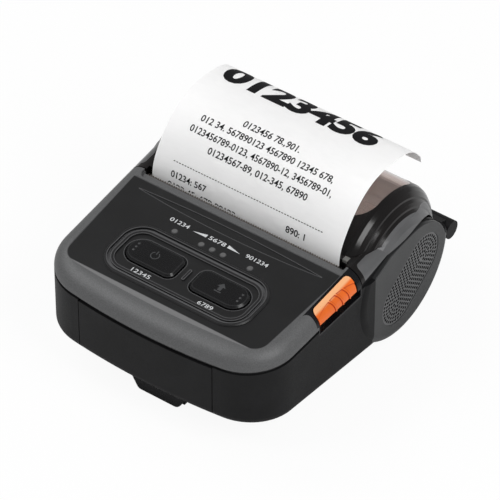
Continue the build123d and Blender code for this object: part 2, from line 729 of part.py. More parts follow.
# Control panel with its raised ring, groove, wells, lens-shaped hollow and sloping front facet
FACE = on_top(-PANEL_SUNK)
with BuildPart() as ring:
    with BuildSketch(FACE.offset(-GROOVE)):
        add(ring_sketch(0, RING_W))
    extrude(amount=GROOVE + RING_PROUD)
    chamfer(ring.faces().sort_by(Axis.Z)[-1].edges(), RING_BEVEL)
FACET = (
    (FACET_Y, top_z(FACET_Y) - PANEL_SUNK),
    (FACET_Y, FAR),
    (-FAR, FAR),
    (-FAR, top_z(-FAR) - PANEL_SUNK - FACET_SLOPE * (FAR + FACET_Y)),
)
with BuildPart() as control_panel:
    with BuildSketch(FACE):
        add(panel_sketch())
    extrude(amount=-PANEL_THICK)
    add(side_profile(FACET, -FAR, FAR), mode=Mode.SUBTRACT)
    add(ring.part)
    with BuildSketch(FACE):
        add(ring_sketch(RING_W, 2 * RING_W))
    extrude(amount=-GROOVE, mode=Mode.SUBTRACT)
    with BuildSketch(FACE):
        add(ring_sketch(2 * RING_W, 3 * RING_W))
    extrude(amount=RING_PROUD / 2)
    with BuildSketch(FACE):
        add(ring_sketch(3 * RING_W, 0))
    extrude(amount=-GROOVE / 2, mode=Mode.SUBTRACT)
    with BuildSketch(FACE):
        with BuildLine():
            ThreePointArc((-LENS_HALF, LENS_Y), (0, LENS_Y + 1.5), (LENS_HALF, LENS_Y))
            ThreePointArc((LENS_HALF, LENS_Y), (0, LENS_Y - 2.0), (-LENS_HALF, LENS_Y))
        make_face()
    extrude(amount=-GROOVE / 2, mode=Mode.SUBTRACT)
    with BuildSketch(FACE):
        add(button_sketch(BUTTON_GAP))
        mirror(about=Plane.YZ)
    extrude(amount=-2 * PANEL_THICK, mode=Mode.SUBTRACT)
    for x in LED_XS:
        add(lamp(x), mode=Mode.SUBTRACT)
    add(LEVER_NOTCH, mode=Mode.SUBTRACT)
    with BuildSketch(FACE.offset(-GROOVE / 2)):
        with Locations((0, BUTTON_Y - 0.5)):
            RectangleRounded(1.1, BUTTON_W / 2, 0.5)
    extrude(amount=GROOVE)
save(control_panel.part, "control_panel")

with BuildPart() as led_lenses:
    for x in LED_XS:
        add(lamp(x))
save(led_lenses.part, "led_lenses")

# Push buttons: bevelled cap, retaining flange under the roof and stem over the switch
FLANGE_TOP = -ROOF - FLANGE_GAP
with BuildPart() as feed_button:
    with BuildSketch(on_top(FLANGE_TOP)):
        add(button_sketch(0))
    extrude(amount=BUTTON_PROUD - FLANGE_TOP)
    chamfer(feed_button.faces().sort_by(Axis.Z)[-1].edges(), BUTTON_BEVEL)
    with BuildSketch(on_top(FLANGE_TOP)):
        add(button_sketch(FLANGE_OUT))
    extrude(amount=-FLANGE)
    with Locations((BUTTON_X, BUTTON_Y, BOARD_TOP + SWITCH_H + BUTTON_TRAVEL + FLANGE_GAP)):
        Cylinder(STEM_R, 2, align=STANDING)
save(feed_button.part, "feed_button")
save(mirror(feed_button.part, about=Plane.YZ), "power_button")

# Tear bar: thin blade with a saw-tooth edge
with BuildPart() as tear_bar:
    with BuildSketch(Plane.XZ.offset(SLOT_THICK / 3 - PAPER_Y)):
        with Locations((0, TEAR_BOTTOM)):
            Rectangle(2 * TEAR_HALF, TEAR_TOP - TOOTH_H - TEAR_BOTTOM, align=(Align.CENTER, Align.MIN))
        with Locations((0, TEAR_TOP - TOOTH_H)):
            with GridLocations(TOOTH_PITCH, 0, int(2 * TEAR_HALF / TOOTH_PITCH), 1):
                Polygon((-TOOTH_PITCH / 2, 0), (TOOTH_PITCH / 2, 0), (0, TOOTH_H), align=None)
    extrude(amount=SLOT_THICK)
save(tear_bar.part, "tear_bar")

# Opening lever: a skin of the cover's own form with a thumb scoop, three curved ridges and two legs
LEVER_MID_Y = (LEVER_FRONT + LEVER_REAR) / 2
SHOULDER_MID = (HALF_WIDTH - 2.2, LEVER_MID_Y, TOP_Z - 2.2)
SHOULDER_PLANE = Plane(origin=SHOULDER_MID, x_dir=(0, 1, 0), z_dir=(1, 0, 1))
with BuildPart() as scoop:
    with BuildSketch(SHOULDER_PLANE):
        with BuildLine():
            ThreePointArc((-SCOOP_HALF, -0.9), (-1, 1.3), (SCOOP_HALF + 2, -1.2))
            Polyline((SCOOP_HALF + 2, -1.2), (SCOOP_HALF + 2, -8), (-SCOOP_HALF, -8), (-SCOOP_HALF, -0.9))
        make_face()
        for end in RIDGE_ENDS:
            with BuildLine() as rib:
                ThreePointArc((end - 1.6, 1.6), (end - 0.3, -0.6), (end, -6.0))
            trace(rib.line, RIDGE_W, mode=Mode.SUBTRACT)
    extrude(amount=8, both=True)
    add(front_form(RIDGE), mode=Mode.SUBTRACT)

with BuildPart() as open_lever:
    add(FRONT)
    add(SKIN_INNER, mode=Mode.SUBTRACT)
    plan = LEVER_X, FAR, LEVER_FRONT, LEVER_REAR
    add(rounded_plan(*plan, LEVER_CORNER_R, LEVER_BOTTOM, FAR), mode=Mode.INTERSECT)
    add(scoop.part, mode=Mode.SUBTRACT)
    crank_leg = CRANK_Y - CRANK_LONG, CRANK_Y + CRANK_LONG
    add(box(LEG_X, LEG_X + LEG_W, *crank_leg, LEG_FOOT, top_z(CRANK_Y) - 1))
    spring_leg = SPRING_LEG_Y - 1.5, SPRING_LEG_Y + 1.5
    add(box(LEG_X, LEG_X + LEG_W, *spring_leg, SPRING_TOP, top_z(SPRING_LEG_Y) - 1))
save(open_lever.part, "open_lever")

# Lever guide: bezel round the lever and the open pocket below it
with BuildPart() as pocket_walls:
    add(FRONT)
    add(POCKET, mode=Mode.INTERSECT)
    inside = POCKET_FRONT + POCKET_END, COVER_REAR_Y - POCKET_END
    add(box(POCKET_X + POCKET_WALL, FAR, *inside, POCKET_BOTTOM, FAR), mode=Mode.SUBTRACT)
    add(box(0, FAR, *inside, LEVER_BOTTOM - 1, FAR), mode=Mode.SUBTRACT)

with BuildPart() as lever_guide:
    add(FRONT)
    add(SKIN_INNER, mode=Mode.SUBTRACT)
    add(LEVER_NOTCH, mode=Mode.INTERSECT)
    add(IN_FRONT, mode=Mode.INTERSECT)
    add(pocket_walls.part)
    add(LEVER_HOLE, mode=Mode.SUBTRACT)
save(lever_guide.part, "lever_guide")

# Lid: one hollow hood, split into the glossy frame, the grey shell and the window
LIP_BACK_Y = LIP_Y + LID_FRONT_WALL
with BuildPart() as lid_hollow:
    add(LID_INNER)
    add(box(-FAR, FAR, -FAR, LID_FRONT_Y + LID_FRONT_WALL, -FAR, FAR), mode=Mode.SUBTRACT)
    add(box(-LANE_OUT - 2, LANE_OUT + 2, -FAR, LIP_BACK_Y, -FAR, FAR), mode=Mode.SUBTRACT)
with BuildPart() as lid_body:
    add(LID_OUTER)
    add(lid_hollow.part, mode=Mode.SUBTRACT)
    add(box(-FAR, FAR, LID_FRONT_Y, FAR, -FAR, FAR), mode=Mode.INTERSECT)
    add(OVER_LID, mode=Mode.INTERSECT)
    add(box(-SLOT_HALF, SLOT_HALF, -FAR, LIP_Y, 0, FAR), mode=Mode.SUBTRACT)
    add(box(3.4 - HALF_WIDTH, HALF_WIDTH - 3.4, -FAR, LIP_BACK_Y, 0, GEAR_ROOM_Z), mode=Mode.SUBTRACT)

FRAME_EDGE = (
    (5.3, 4.4),
    (3.9, 10.0),
    (2.5, 12.0),
    (2.5, 29.0),
    (3.5, 33.0),
    (5.0, 38.0),
    (6.2, 43.0),
    (6.8, 48.0),
    (6.8, FAR),
)
with BuildPart() as frame_region:
    with BuildSketch(Plane.XY.offset(BOARD_TOP)):
        with BuildLine():
            nose_x = HALF_WIDTH - FRAME_EDGE[0][0]
            nose_in = (nose_x, STRIP_FRONT_Y + STRIP_NOSE_R)
            nose_out = (nose_x + STRIP_NOSE_R, STRIP_FRONT_Y)
            bow = (nose_x + 0.3 * STRIP_NOSE_R, STRIP_FRONT_Y + 0.3 * STRIP_NOSE_R)
            Polyline((0, FAR), (0, -FAR), (FAR, -FAR), (FAR, STRIP_FRONT_Y), nose_out)
            ThreePointArc(nose_out, bow, nose_in)
            Polyline(nose_in, *[(HALF_WIDTH - inset, y) for inset, y in FRAME_EDGE], (0, FAR))
        make_face()
        mirror(about=Plane.YZ)
    extrude(amount=FAR)

WINDOW_PLAN = rounded_plan(-WINDOW_HALF, WINDOW_HALF, WINDOW_FRONT, WINDOW_REAR, WINDOW_CORNER_R, DRUM_Z, FAR)
TAB = box(TAB_X - TAB_HALF, TAB_X + TAB_HALF, LIP_Y - 1, LIP_Y + 2, TOP_Z - 1.2, FAR)

with BuildPart() as lid_frame:
    add(lid_body.part)
    add(frame_region.part, mode=Mode.INTERSECT)
    add(WINDOW_PLAN, mode=Mode.SUBTRACT)
    add(TAB, mode=Mode.SUBTRACT)
save(lid_frame.part, "lid_frame")

with BuildPart() as lid_window:
    add(about_drum(((0, LID_R - WINDOW_SUNK), (FAR, LID_R - WINDOW_SUNK), (FAR, 0))))
    add(about_drum(((0, LID_R - LID_WALL), (FAR, LID_R - LID_WALL), (FAR, 0))), mode=Mode.SUBTRACT)
    add(WINDOW_PLAN, mode=Mode.INTERSECT)
save(lid_window.part, "lid_window")

with BuildPart() as lid_tab:
    add(front_form(-WINDOW_SUNK))
    add(TAB, mode=Mode.INTERSECT)
    add(box(-FAR, FAR, LIP_Y, FAR, 0, FAR), mode=Mode.INTERSECT)
save(lid_tab.part, "lid_tab")

LID_ARM = (
    (DRUM_Y + 28.6, DRUM_Z + 7.7),
    (DRUM_Y + 30.0, DRUM_Z + 8.0),
    (HINGE_Y + BARREL_R, HINGE_Z),
    (HINGE_Y - 3.3, HINGE_Z - 1.0),
    (DRUM_Y + 29.2, DRUM_Z + 1.2),
    (DRUM_Y + 28.2, DRUM_Z + 3.2),
)
BRACKET = (
    (LIP_BACK_Y, PLATEN_Z),
    (PLATEN_Y + BRACKET_R, PLATEN_Z),
    (PLATEN_Y + BRACKET_R, BRACKET_TOP),
    (LIP_BACK_Y, BRACKET_TOP),
)
BRACKET_ROOT = box(LANE_IN, HALF_WIDTH - 2.9, LIP_BACK_Y, PLATEN_Y + BRACKET_R, GEAR_ROOM_Z, BRACKET_TOP)

with BuildPart() as lid_shell:
    add(lid_body.part)
    add(frame_region.part, mode=Mode.SUBTRACT)
    for piece in both_sides(side_profile(LID_ARM, LID_ARM_IN, LID_ARM_OUT)):
        add(piece)
    add(rod(HINGE_SIDE_GAP - LUG_IN, LUG_IN - HINGE_SIDE_GAP, HINGE_Y, HINGE_Z, BARREL_R))
    for piece in both_sides(side_profile(BRACKET, LANE_IN, LANE_OUT)):
        add(piece)
    for piece in both_sides(rod(LANE_IN, LANE_OUT, PLATEN_Y, PLATEN_Z, BRACKET_R)):
        add(piece)
    for piece in both_sides(BRACKET_ROOT):
        add(piece)
    add(rod(-FAR, FAR, HINGE_Y, HINGE_Z, ROD_R + RUN_CLEAR), mode=Mode.SUBTRACT)
    add(rod(-LANE_OUT, LANE_OUT, PLATEN_Y, PLATEN_Z, BUSH_R), mode=Mode.SUBTRACT)
save(lid_shell.part, "lid_shell")

save(rod(-BARREL_BORE_END, BARREL_BORE_END, HINGE_Y, HINGE_Z, ROD_R), "hinge_rod")

# Side cheeks on the drum ends, with a rounded lip under the lid and a sunk grille field


def grille_field(depth_from, thick):
    """Slot-shaped slab of the grille field on the right, from a depth under the cheek's face."""
    along = hypot(GRILLE_B[0] - GRILLE_A[0], GRILLE_B[1] - GRILLE_A[1])
    slope = degrees(atan2(GRILLE_B[1] - GRILLE_A[1], GRILLE_B[0] - GRILLE_A[0]))
    with BuildPart() as field:
        with BuildSketch(Plane.YZ.offset(HALF_WIDTH - depth_from)):
            with Locations(((GRILLE_A[0] + GRILLE_B[0]) / 2, (GRILLE_A[1] + GRILLE_B[1]) / 2)):
                SlotCenterToCenter(along, 2 * GRILLE_R, rotation=slope)
        extrude(amount=thick)
    return field.part


with BuildPart() as side_cheek:
    add(SMOOTH)
    add(box(CHEEK_X, FAR, CHEEK_Y, FAR, 0, FAR), mode=Mode.INTERSECT)
    add(OVER_CHEEK, mode=Mode.SUBTRACT)
    add(RIM_DIP, mode=Mode.SUBTRACT)
    lip = side_cheek.faces().sort_by(Axis.X)[-1].edges().filter_by_position(Axis.Z, DRUM_Z + 6, FAR)
    fillet(lip, CHEEK_LIP_R)
    add(grille_field(GRILLE_THICK, FAR), mode=Mode.SUBTRACT)
for side, piece in zip(("right", "left"), both_sides(side_cheek.part)):
    save(piece, f"side_cheek_{side}")
for side, piece in zip(("right", "left"), both_sides(grille_field(GRILLE_THICK, GRILLE_THICK - GRILLE_SUNK))):
    save(piece, f"side_grille_{side}")

# Platen with its gear, and the two bushes in the lid
with BuildPart() as platen_bushes:
    for piece in both_sides(tube(LANE_IN, LANE_OUT, PLATEN_Y, PLATEN_Z, BUSH_R, SHAFT_R + RUN_CLEAR)):
        add(piece)
save(platen_bushes.part, "platen_bushes")
save(rod(GEAR_X - LANE_GAP, SHAFT_END, PLATEN_Y, PLATEN_Z, SHAFT_R), "platen_shaft")
save(tube(-PLATEN_HALF, PLATEN_HALF, PLATEN_Y, PLATEN_Z, PLATEN_R, SHAFT_R), "platen_roller")


def involute(angle):
    """Involute function of a pressure angle in radians."""
    return tan(angle) - angle


def spur_gear(teeth, y, z, bore, turn):
    """Spur gear in the gear lane; turn is the angle of its first tooth in radians."""
    pitch_r = MODULE * teeth / 2
    base_r = pitch_r * cos(PRESSURE)
    root_r = pitch_r - 1.2 * MODULE
    tip_r = pitch_r + 0.95 * MODULE
    half_pitch = (pi * MODULE / 2 - BACKLASH / 2) / (2 * pitch_r)
    flank = []
    for radius in (root_r, pitch_r, tip_r):
        meets = acos(min(1, base_r / radius))
        flank.append((radius, half_pitch + involute(PRESSURE) - involute(meets)))
    tooth_line = [(radius, -half) for radius, half in flank]
    tooth_line += [(radius, half) for radius, half in reversed(flank)]
    outline = []
    for tooth in range(teeth):
        middle = turn + 2 * pi * tooth / teeth
        for radius, away in tooth_line:
            outline.append((y + radius * cos(middle + away), z + radius * sin(middle + away)))
    with BuildPart() as gear:
        add(side_profile(outline, GEAR_X, GEAR_X + GEAR_W))
        add(rod(GEAR_X, GEAR_X + GEAR_W, y, z, bore), mode=Mode.SUBTRACT)
    return gear.part


TO_PLATEN = IDLER_LEAN - pi
TO_MOTOR = MOTOR_LEAN
PLATEN_TURN = IDLER_LEAN + pi / PLATEN_TEETH
PINION_TURN = TO_MOTOR + pi - (TO_PLATEN - TO_MOTOR) * IDLER_TEETH / PINION_TEETH + pi / PINION_TEETH
save(spur_gear(PLATEN_TEETH, PLATEN_Y, PLATEN_Z, SHAFT_R, PLATEN_TURN), "platen_gear")
save(spur_gear(IDLER_TEETH, IDLER_Y, IDLER_Z, IDLER_PIN_R + RUN_CLEAR, TO_PLATEN), "idler_gear")
save(rod(GEAR_X - 1.5, GEAR_X + GEAR_W + 0.3, IDLER_Y, IDLER_Z, IDLER_PIN_R), "idler_pin")
with BuildPart() as motor_pinion:
    add(spur_gear(PINION_TEETH, MOTOR_Y, MOTOR_Z, MOTOR_SHAFT_R, PINION_TURN))
    add(rod(GEAR_X, 2.5 - FRAME_HALF, MOTOR_Y, MOTOR_Z, MOTOR_SHAFT_R))
save(motor_pinion.part, "motor_pinion")

# Stepper motor with its two ears, on the left plate of the frame
MOTOR_FACE = PLATE - FRAME_HALF
with BuildPart() as stepper_motor:
    add(rod(MOTOR_FACE, MOTOR_FACE + MOTOR_LONG, MOTOR_Y, MOTOR_Z, MOTOR_R))
    with BuildSketch(Plane.YZ.offset(MOTOR_FACE)):
        with Locations((MOTOR_Y, MOTOR_Z)):
            SlotOverall(2 * MOTOR_R + 5, 5, rotation=40)
    extrude(amount=0.8)
    add(rod(MOTOR_FACE, MOTOR_FACE + 1.8, MOTOR_Y, MOTOR_Z, MOTOR_SHAFT_R + 0.2), mode=Mode.SUBTRACT)
save(stepper_motor.part, "stepper_motor")

# Mechanism frame: bridge and two side plates with feet
LEFT_PLATE = (
    (MOTOR_Y - 9.0, MOTOR_Z - 12.0),
    (MOTOR_Y - 9.0, MOTOR_Z + 9.0),
    (BRIDGE_Y, FRAME_TOP),
    (FRAME_REAR, FRAME_TOP),
    (FRAME_REAR, FRAME_FOOT),
    (MOTOR_Y - 6.0, FRAME_FOOT),
)
RIGHT_PLATE = (
    (BRIDGE_Y, FRAME_FOOT),
    (BRIDGE_Y, FRAME_TOP),
    (FRAME_REAR, FRAME_TOP),
    (FRAME_REAR, FRAME_FOOT),
)
FRAME_FEET = box(FRAME_HALF - 5, FRAME_HALF, BRIDGE_Y, FRAME_REAR, FRAME_FOOT, FRAME_FOOT + PLATE)
with BuildPart() as mechanism_frame:
    add(box(-FRAME_HALF, FRAME_HALF, BRIDGE_Y, BRIDGE_Y + PLATE, PLATEN_Z - 1.5, FRAME_TOP))
    add(side_profile(LEFT_PLATE, -FRAME_HALF, PLATE - FRAME_HALF))
    add(side_profile(RIGHT_PLATE, FRAME_HALF - PLATE, FRAME_HALF))
    for piece in both_sides(FRAME_FEET):
        add(piece)
    add(rod(-FAR, FAR, LATCH_Y, LATCH_Z, SHAFT_R + RUN_CLEAR), mode=Mode.SUBTRACT)
    add(rod(-FAR, 0, MOTOR_Y, MOTOR_Z, 3 * MOTOR_SHAFT_R), mode=Mode.SUBTRACT)
save(mechanism_frame.part, "mechanism_frame")

# Print head, heat sink with fins, and the spring fingers that press them
save(box(-HEAD_HALF, HEAD_HALF, SINK_Y, HEAD_Y, PLATEN_Z - 4, PLATEN_Z + 4), "print_head")
SINK_BACK = SINK_Y - SINK_THICK
with BuildPart() as heat_sink:
    add(box(-HEAD_HALF, HEAD_HALF, SINK_BACK, SINK_Y, PLATEN_Z - 6.3, PLATEN_Z + 5.5))
    with Locations((0, SINK_BACK - FIN_OUT / 2, PLATEN_Z)):
        with GridLocations(12.0, 0, 7, 1):
            Box(1.2, FIN_OUT, 9.0)
save(heat_sink.part, "heat_sink")
FINGER = (
    (BRIDGE_Y + PLATE + 0.15, PLATEN_Z + 5.0),
    (BRIDGE_Y + PLATE + 0.15, PLATEN_Z + 0.5),
    (SINK_BACK - 0.15, PLATEN_Z - 2.0),
    (SINK_BACK - 0.15, PLATEN_Z - 3.5),
)
with BuildPart() as head_springs:
    for x in (-24.0, 0.0, 24.0):
        add(bent_strip(FINGER, 0.3, x + 1.5, x + 7.5))
save(head_springs.part, "head_springs")

# Latch: shaft with its crank under the lever's leg, and two hooks over the platen shaft
HOOK_TOP = PLATEN_Z + 4.0
HOOK_CATCH = PLATEN_Z + SHAFT_R + HOOK_LIFT
CRANK = (
    (LATCH_Y, LATCH_Z - 2.6),
    (LATCH_Y + 2.6, LATCH_Z),
    (LATCH_Y, LATCH_Z + 2.6),
    (CRANK_Y - CRANK_LONG, LEG_FOOT - HOOK_LIFT),
    (CRANK_Y - CRANK_LONG, LEG_FOOT - HOOK_LIFT - 2.0),
)
HOOK = (
    (LATCH_Y - 2.2, LATCH_Z),
    (LATCH_Y + 2.2, LATCH_Z),
    (PLATEN_Y - 5.0, PLATEN_Z - 7.5),
    (PLATEN_Y - 2.1, PLATEN_Z - 1.5),
    (PLATEN_Y - 2.1, HOOK_CATCH),
    (PLATEN_Y - 1.15, HOOK_CATCH),
    (PLATEN_Y - 2.8, HOOK_TOP),
    (PLATEN_Y - 4.8, HOOK_TOP),
    (PLATEN_Y - 5.6, PLATEN_Z - 1.5),
    (PLATEN_Y - 7.8, PLATEN_Z - 7.5),
)
with BuildPart() as latch_shaft:
    add(rod(-HOOK_X - HOOK_W - 0.2, LEG_X + LEG_W, LATCH_Y, LATCH_Z, SHAFT_R))
    add(side_profile(CRANK, LEG_X, LEG_X + LEG_W))
save(latch_shaft.part, "latch_shaft")
with BuildPart() as latch_hooks:
    for piece in both_sides(side_profile(HOOK, HOOK_X, HOOK_X + HOOK_W)):
        add(piece)
    for piece in both_sides(rod(HOOK_X, HOOK_X + HOOK_W, LATCH_Y, LATCH_Z, HOOK_HUB_R)):
        add(piece)
    add(rod(-FAR, FAR, LATCH_Y, LATCH_Z, SHAFT_R), mode=Mode.SUBTRACT)
save(latch_hooks.part, "latch_hooks")
LEVER_LEAF = (
    (SPRING_LEG_Y, SPRING_TOP - 0.2),
    (SPRING_LEG_Y - 3.5, SPRING_TOP - 0.3),
    (SPRING_FOOT_Y, SPRING_FOOT_Z + 0.2),
    (SPRING_FOOT_Y + 1.5, SPRING_FOOT_Z),
)
save(bent_strip(LEVER_LEAF, 0.35, LEG_X, LEG_X + LEG_W), "lever_spring")

# Circuit board and what stands on it
with BuildPart() as circuit_board:
    with BuildSketch(Plane.XY.offset(BOARD_UNDER)):
        with Locations((0, (BOARD_FRONT + BOARD_REAR) / 2)):
            RectangleRounded(2 * BOARD_HALF, BOARD_REAR - BOARD_FRONT, 3)
    extrude(amount=BOARD_THICK)
save(circuit_board.part, "circuit_board")
with BuildPart() as tact_switches:
    with Locations((-BUTTON_X, BUTTON_Y, BOARD_TOP), (BUTTON_X, BUTTON_Y, BOARD_TOP)):
        Box(6, 6, SWITCH_H - 0.5, align=STANDING)
        Cylinder(STEM_R + 0.2, SWITCH_H, align=STANDING)
save(tact_switches.part, "tact_switches")
CHIPS = (
    (0, BUTTON_Y - 9.0, 9, 9, 1.0),
    (-31, LED_Y + 1.2, 6, 8, 1.4),
    (31, LED_Y - 0.8, 9, 5, 1.2),
    (28, BUTTON_Y - 9.5, 5, 5, 2.2),
    (-24, LED_Y - 6.8, 4, 4, 0.9),
)
with BuildPart() as board_parts:
    with Locations(*[(x, LED_Y, BOARD_TOP) for x in LED_XS]):
        Box(2.0, 1.2, LED_HIGH, align=STANDING)
    for x, y, long, wide, high in CHIPS:
        with Locations((x, y, BOARD_TOP)):
            Box(long, wide, high, align=STANDING)
save(board_parts.part, "board_parts")

# Sockets under the board at the left wall
PLUG_HALF = SOCKET_R + 1.0
with BuildPart() as power_socket:
    shell_y = SOCKET_Y - PLUG_HALF, SOCKET_Y + PLUG_HALF
    add(box(-SOCKET_X, 9.5 - SOCKET_X, *shell_y, SOCKET_Z - PLUG_HALF, BOARD_UNDER))
    add(rod(-SOCKET_X, 8.0 - SOCKET_X, SOCKET_Y, SOCKET_Z, SOCKET_R - 0.4), mode=Mode.SUBTRACT)
    add(rod(1.0 - SOCKET_X, 9.0 - SOCKET_X, SOCKET_Y, SOCKET_Z, SOCKET_R / 4))
save(power_socket.part, "power_socket")
with BuildPart() as data_socket:
    shell_y = DATA_Y - DATA_HALF + 0.2, DATA_Y + DATA_HALF - 0.2
    mouth_y = DATA_Y - DATA_HALF + 0.8, DATA_Y + DATA_HALF - 0.8
    tongue_y = DATA_Y - DATA_HALF + 2.0, DATA_Y + DATA_HALF - 2.0
    add(box(-DATA_X, 6.9 - DATA_X, *shell_y, BOARD_UNDER - 3.9, BOARD_UNDER))
    add(box(-DATA_X, 5.4 - DATA_X, *mouth_y, BOARD_UNDER - 3.3, BOARD_UNDER - 1.1), mode=Mode.SUBTRACT)
    add(box(1.0 - DATA_X, 6.4 - DATA_X, *tongue_y, BOARD_UNDER - 2.5, BOARD_UNDER - 1.9))
save(data_socket.part, "data_socket")

# Battery pack: a block parallel to the belly with the middle of the case front as its cap
BLOCK_FRONT = FRONT_Y + CAP_THICK
with BuildPart() as battery_body:
    with BuildSketch(Plane.YZ):
        with BuildLine():
            Polyline(
                (BLOCK_FRONT, belly_z(FRONT_Y) + BATTERY_LOW),
                (BATTERY_REAR, belly_z(BATTERY_REAR) + BATTERY_LOW),
                (BATTERY_REAR, belly_z(BATTERY_REAR) + BATTERY_HIGH),
                (BLOCK_FRONT, belly_z(FRONT_Y) + BATTERY_HIGH),
                close=True,
            )
        make_face()
    extrude(amount=BATTERY_HALF, both=True)
    fillet(battery_body.faces().sort_by(Axis.Y)[-1].edges(), 1.5)
with BuildPart() as battery_pack:
    add(FRONT)
    add(front_form(CAP_THICK), mode=Mode.SUBTRACT)
    add(box(-CAP_HALF, CAP_HALF, -FAR, CAP_BACK_Y, CAP_BOTTOM, CAP_TOP), mode=Mode.INTERSECT)
    add(battery_body.part)
save(battery_pack.part, "battery_pack")

CONTACT_Y = BATTERY_REAR + 0.9
CONTACT_BACK_Y = CONTACT_Y + 2.1
CONTACT_FLOOR = belly_z(BATTERY_REAR) + WALL
CONTACT_BLOCK = (
    (CONTACT_Y, belly_z(CONTACT_Y) + WALL),
    (CONTACT_BACK_Y, belly_z(CONTACT_BACK_Y) + WALL),
    (CONTACT_BACK_Y, CONTACT_FLOOR + 13.0),
    (CONTACT_Y, CONTACT_FLOOR + 13.0),
)
with BuildPart() as battery_contacts:
    add(side_profile(CONTACT_BLOCK, -12, 12))
    with Locations((0, CONTACT_Y - 0.3, CONTACT_FLOOR + 5.0)):
        with GridLocations(8.0, 0, 3, 1):
            Box(1.6, 0.6, 5.0, align=STANDING)
save(battery_contacts.part, "battery_contacts")

# Ribbon cable from the head to the board, and the paper sensor
CABLE = (
    (SINK_BACK - 0.1, PLATEN_Z - 5.0),
    (SINK_BACK - 0.1, PLATEN_Z - 7.0),
    (BRIDGE_Y + 0.7, PLATEN_Z - 6.5),
    (BOARD_REAR - 4.0, BOARD_UNDER - 1.9),
    (BOARD_REAR - 4.0, BOARD_UNDER),
)
save(bent_strip(CABLE, 0.2, -12, 12), "ribbon_cable")
save(box(12, 18, SINK_Y + 0.1, SINK_Y + 1.0, PLATEN_Z - 7.0, PLATEN_Z - 5.5), "paper_sensor")

# Paper: the roll on its core, the web up to the print line, and the receipt
save(tube(-PAPER_HALF, PAPER_HALF, ROLL_Y, ROLL_Z, ROLL_R, CORE_R), "paper_roll")
save(tube(-PAPER_HALF, PAPER_HALF, ROLL_Y, ROLL_Z, CORE_R, CORE_BORE_R), "roll_core")
WEB_TOP = (PAPER_Y + 0.1, PLATEN_Z - 4.6)
WEB_R = ROLL_R + WEB_CLEAR
reach = hypot(ROLL_Y - WEB_TOP[0], ROLL_Z - WEB_TOP[1])
aim = atan2(WEB_TOP[1] - ROLL_Z, WEB_TOP[0] - ROLL_Y) + acos(WEB_R / reach)
WEB_FOOT = (ROLL_Y + WEB_R * cos(aim), ROLL_Z + WEB_R * sin(aim))
save(bent_strip((WEB_TOP, WEB_FOOT), PAPER_THICK, -PAPER_HALF, PAPER_HALF), "paper_web")

# Curl of the receipt: how far back and up from where it leaves the slot
CURL = (
    (3.3, 10.0),
    (8.3, 16.3),
    (15.9, 22.0),
    (24.9, 24.2),
    (36.0, 23.0),
    (45.0, 19.0),
    (48.6, 14.8),
    (49.8, 11.0),
)
LEAVES_Z = TOP_Z - 1.2
with BuildPart() as receipt:
    with BuildSketch(Plane.YZ.offset(-PAPER_HALF)):
        with BuildLine() as path:
            Line((PAPER_Y, PLATEN_Z - 4.2), (PAPER_Y, LEAVES_Z))
            curl = [(PAPER_Y + back, LEAVES_Z + up) for back, up in CURL]
            Spline((PAPER_Y, LEAVES_Z), *curl, tangents=[(0, 1), (0.15, -1)])
        trace(path.line, PAPER_THICK)
    extrude(amount=2 * PAPER_HALF)
save(receipt.part, "receipt")

# Belt clip with its pin and leaf spring
with BuildPart() as belt_clip:
    with BuildSketch(Plane.XY.offset(CLIP_LOW)):
        with BuildLine():
            wide = CLIP_ARM_HALF + 1
            Polyline(
                (-CLIP_ARM_HALF, CLIP_Y),
                (-wide, CLIP_TIP_Y + 2),
                (wide, CLIP_TIP_Y + 2),
                (CLIP_ARM_HALF, CLIP_Y),
                close=True,
            )
        make_face()
    extrude(amount=CLIP_THICK)
    with BuildSketch(Plane.XZ.offset(-CLIP_TIP_Y)):
        with BuildLine():
            Polyline(
                (-CLIP_TIP_FOOT, 0),
                (CLIP_TIP_FOOT, 0),
                (CLIP_TIP_HALF, 5.5),
                (CLIP_TIP_HALF, 14),
                (-CLIP_TIP_HALF, 14),
                (-CLIP_TIP_HALF, 5.5),
                close=True,
            )
        tip = make_face()
        fillet(tip.vertices().sort_by(Axis.Y)[:4], CLIP_TIP_R)
    extrude(amount=-CLIP_TIP_LONG)
    upright = belt_clip.edges().filter_by(Axis.Z)
    fillet(upright.filter_by_position(Axis.Y, CLIP_TIP_Y - 0.1, CLIP_TIP_Y + 0.1), CLIP_EDGE_R)
    with BuildSketch(Plane.YZ):
        with BuildLine():
            Polyline(
                (-FAR, belly_z(-FAR) - CLIP_GAP),
                (0, belly_z(0) - CLIP_GAP),
                (0, FAR),
                (-FAR, FAR),
                close=True,
            )
        make_face()
    extrude(amount=FAR, both=True, mode=Mode.SUBTRACT)
    add(rod(-CLIP_ARM_HALF, CLIP_ARM_HALF, CLIP_Y, CLIP_Z, CLIP_BOSS_R))
    add(rod(-FAR, FAR, CLIP_Y, CLIP_Z, CLIP_PIN_R + RUN_CLEAR), mode=Mode.SUBTRACT)
save(belt_clip.part, "belt_clip")
CLIP_PIN_HALF = CLIP_LUG_OUT + 0.3
save(rod(-CLIP_PIN_HALF, CLIP_PIN_HALF, CLIP_Y, CLIP_Z, CLIP_PIN_R), "clip_pin")
CLIP_TOP = CLIP_LOW + CLIP_THICK
CLIP_LEAF = (
    (CLIP_Y - 7.0, belly_z(CLIP_Y - 7.0) - 0.15),
    (CLIP_Y - 11.5, belly_z(CLIP_Y - 11.5) - 0.6),
    (CLIP_Y - 18.5, CLIP_TOP + 0.2),
    (CLIP_Y - 20.5, CLIP_TOP + 0.3),
)
save(bent_strip(CLIP_LEAF, 0.3, -4, 4), "clip_spring")

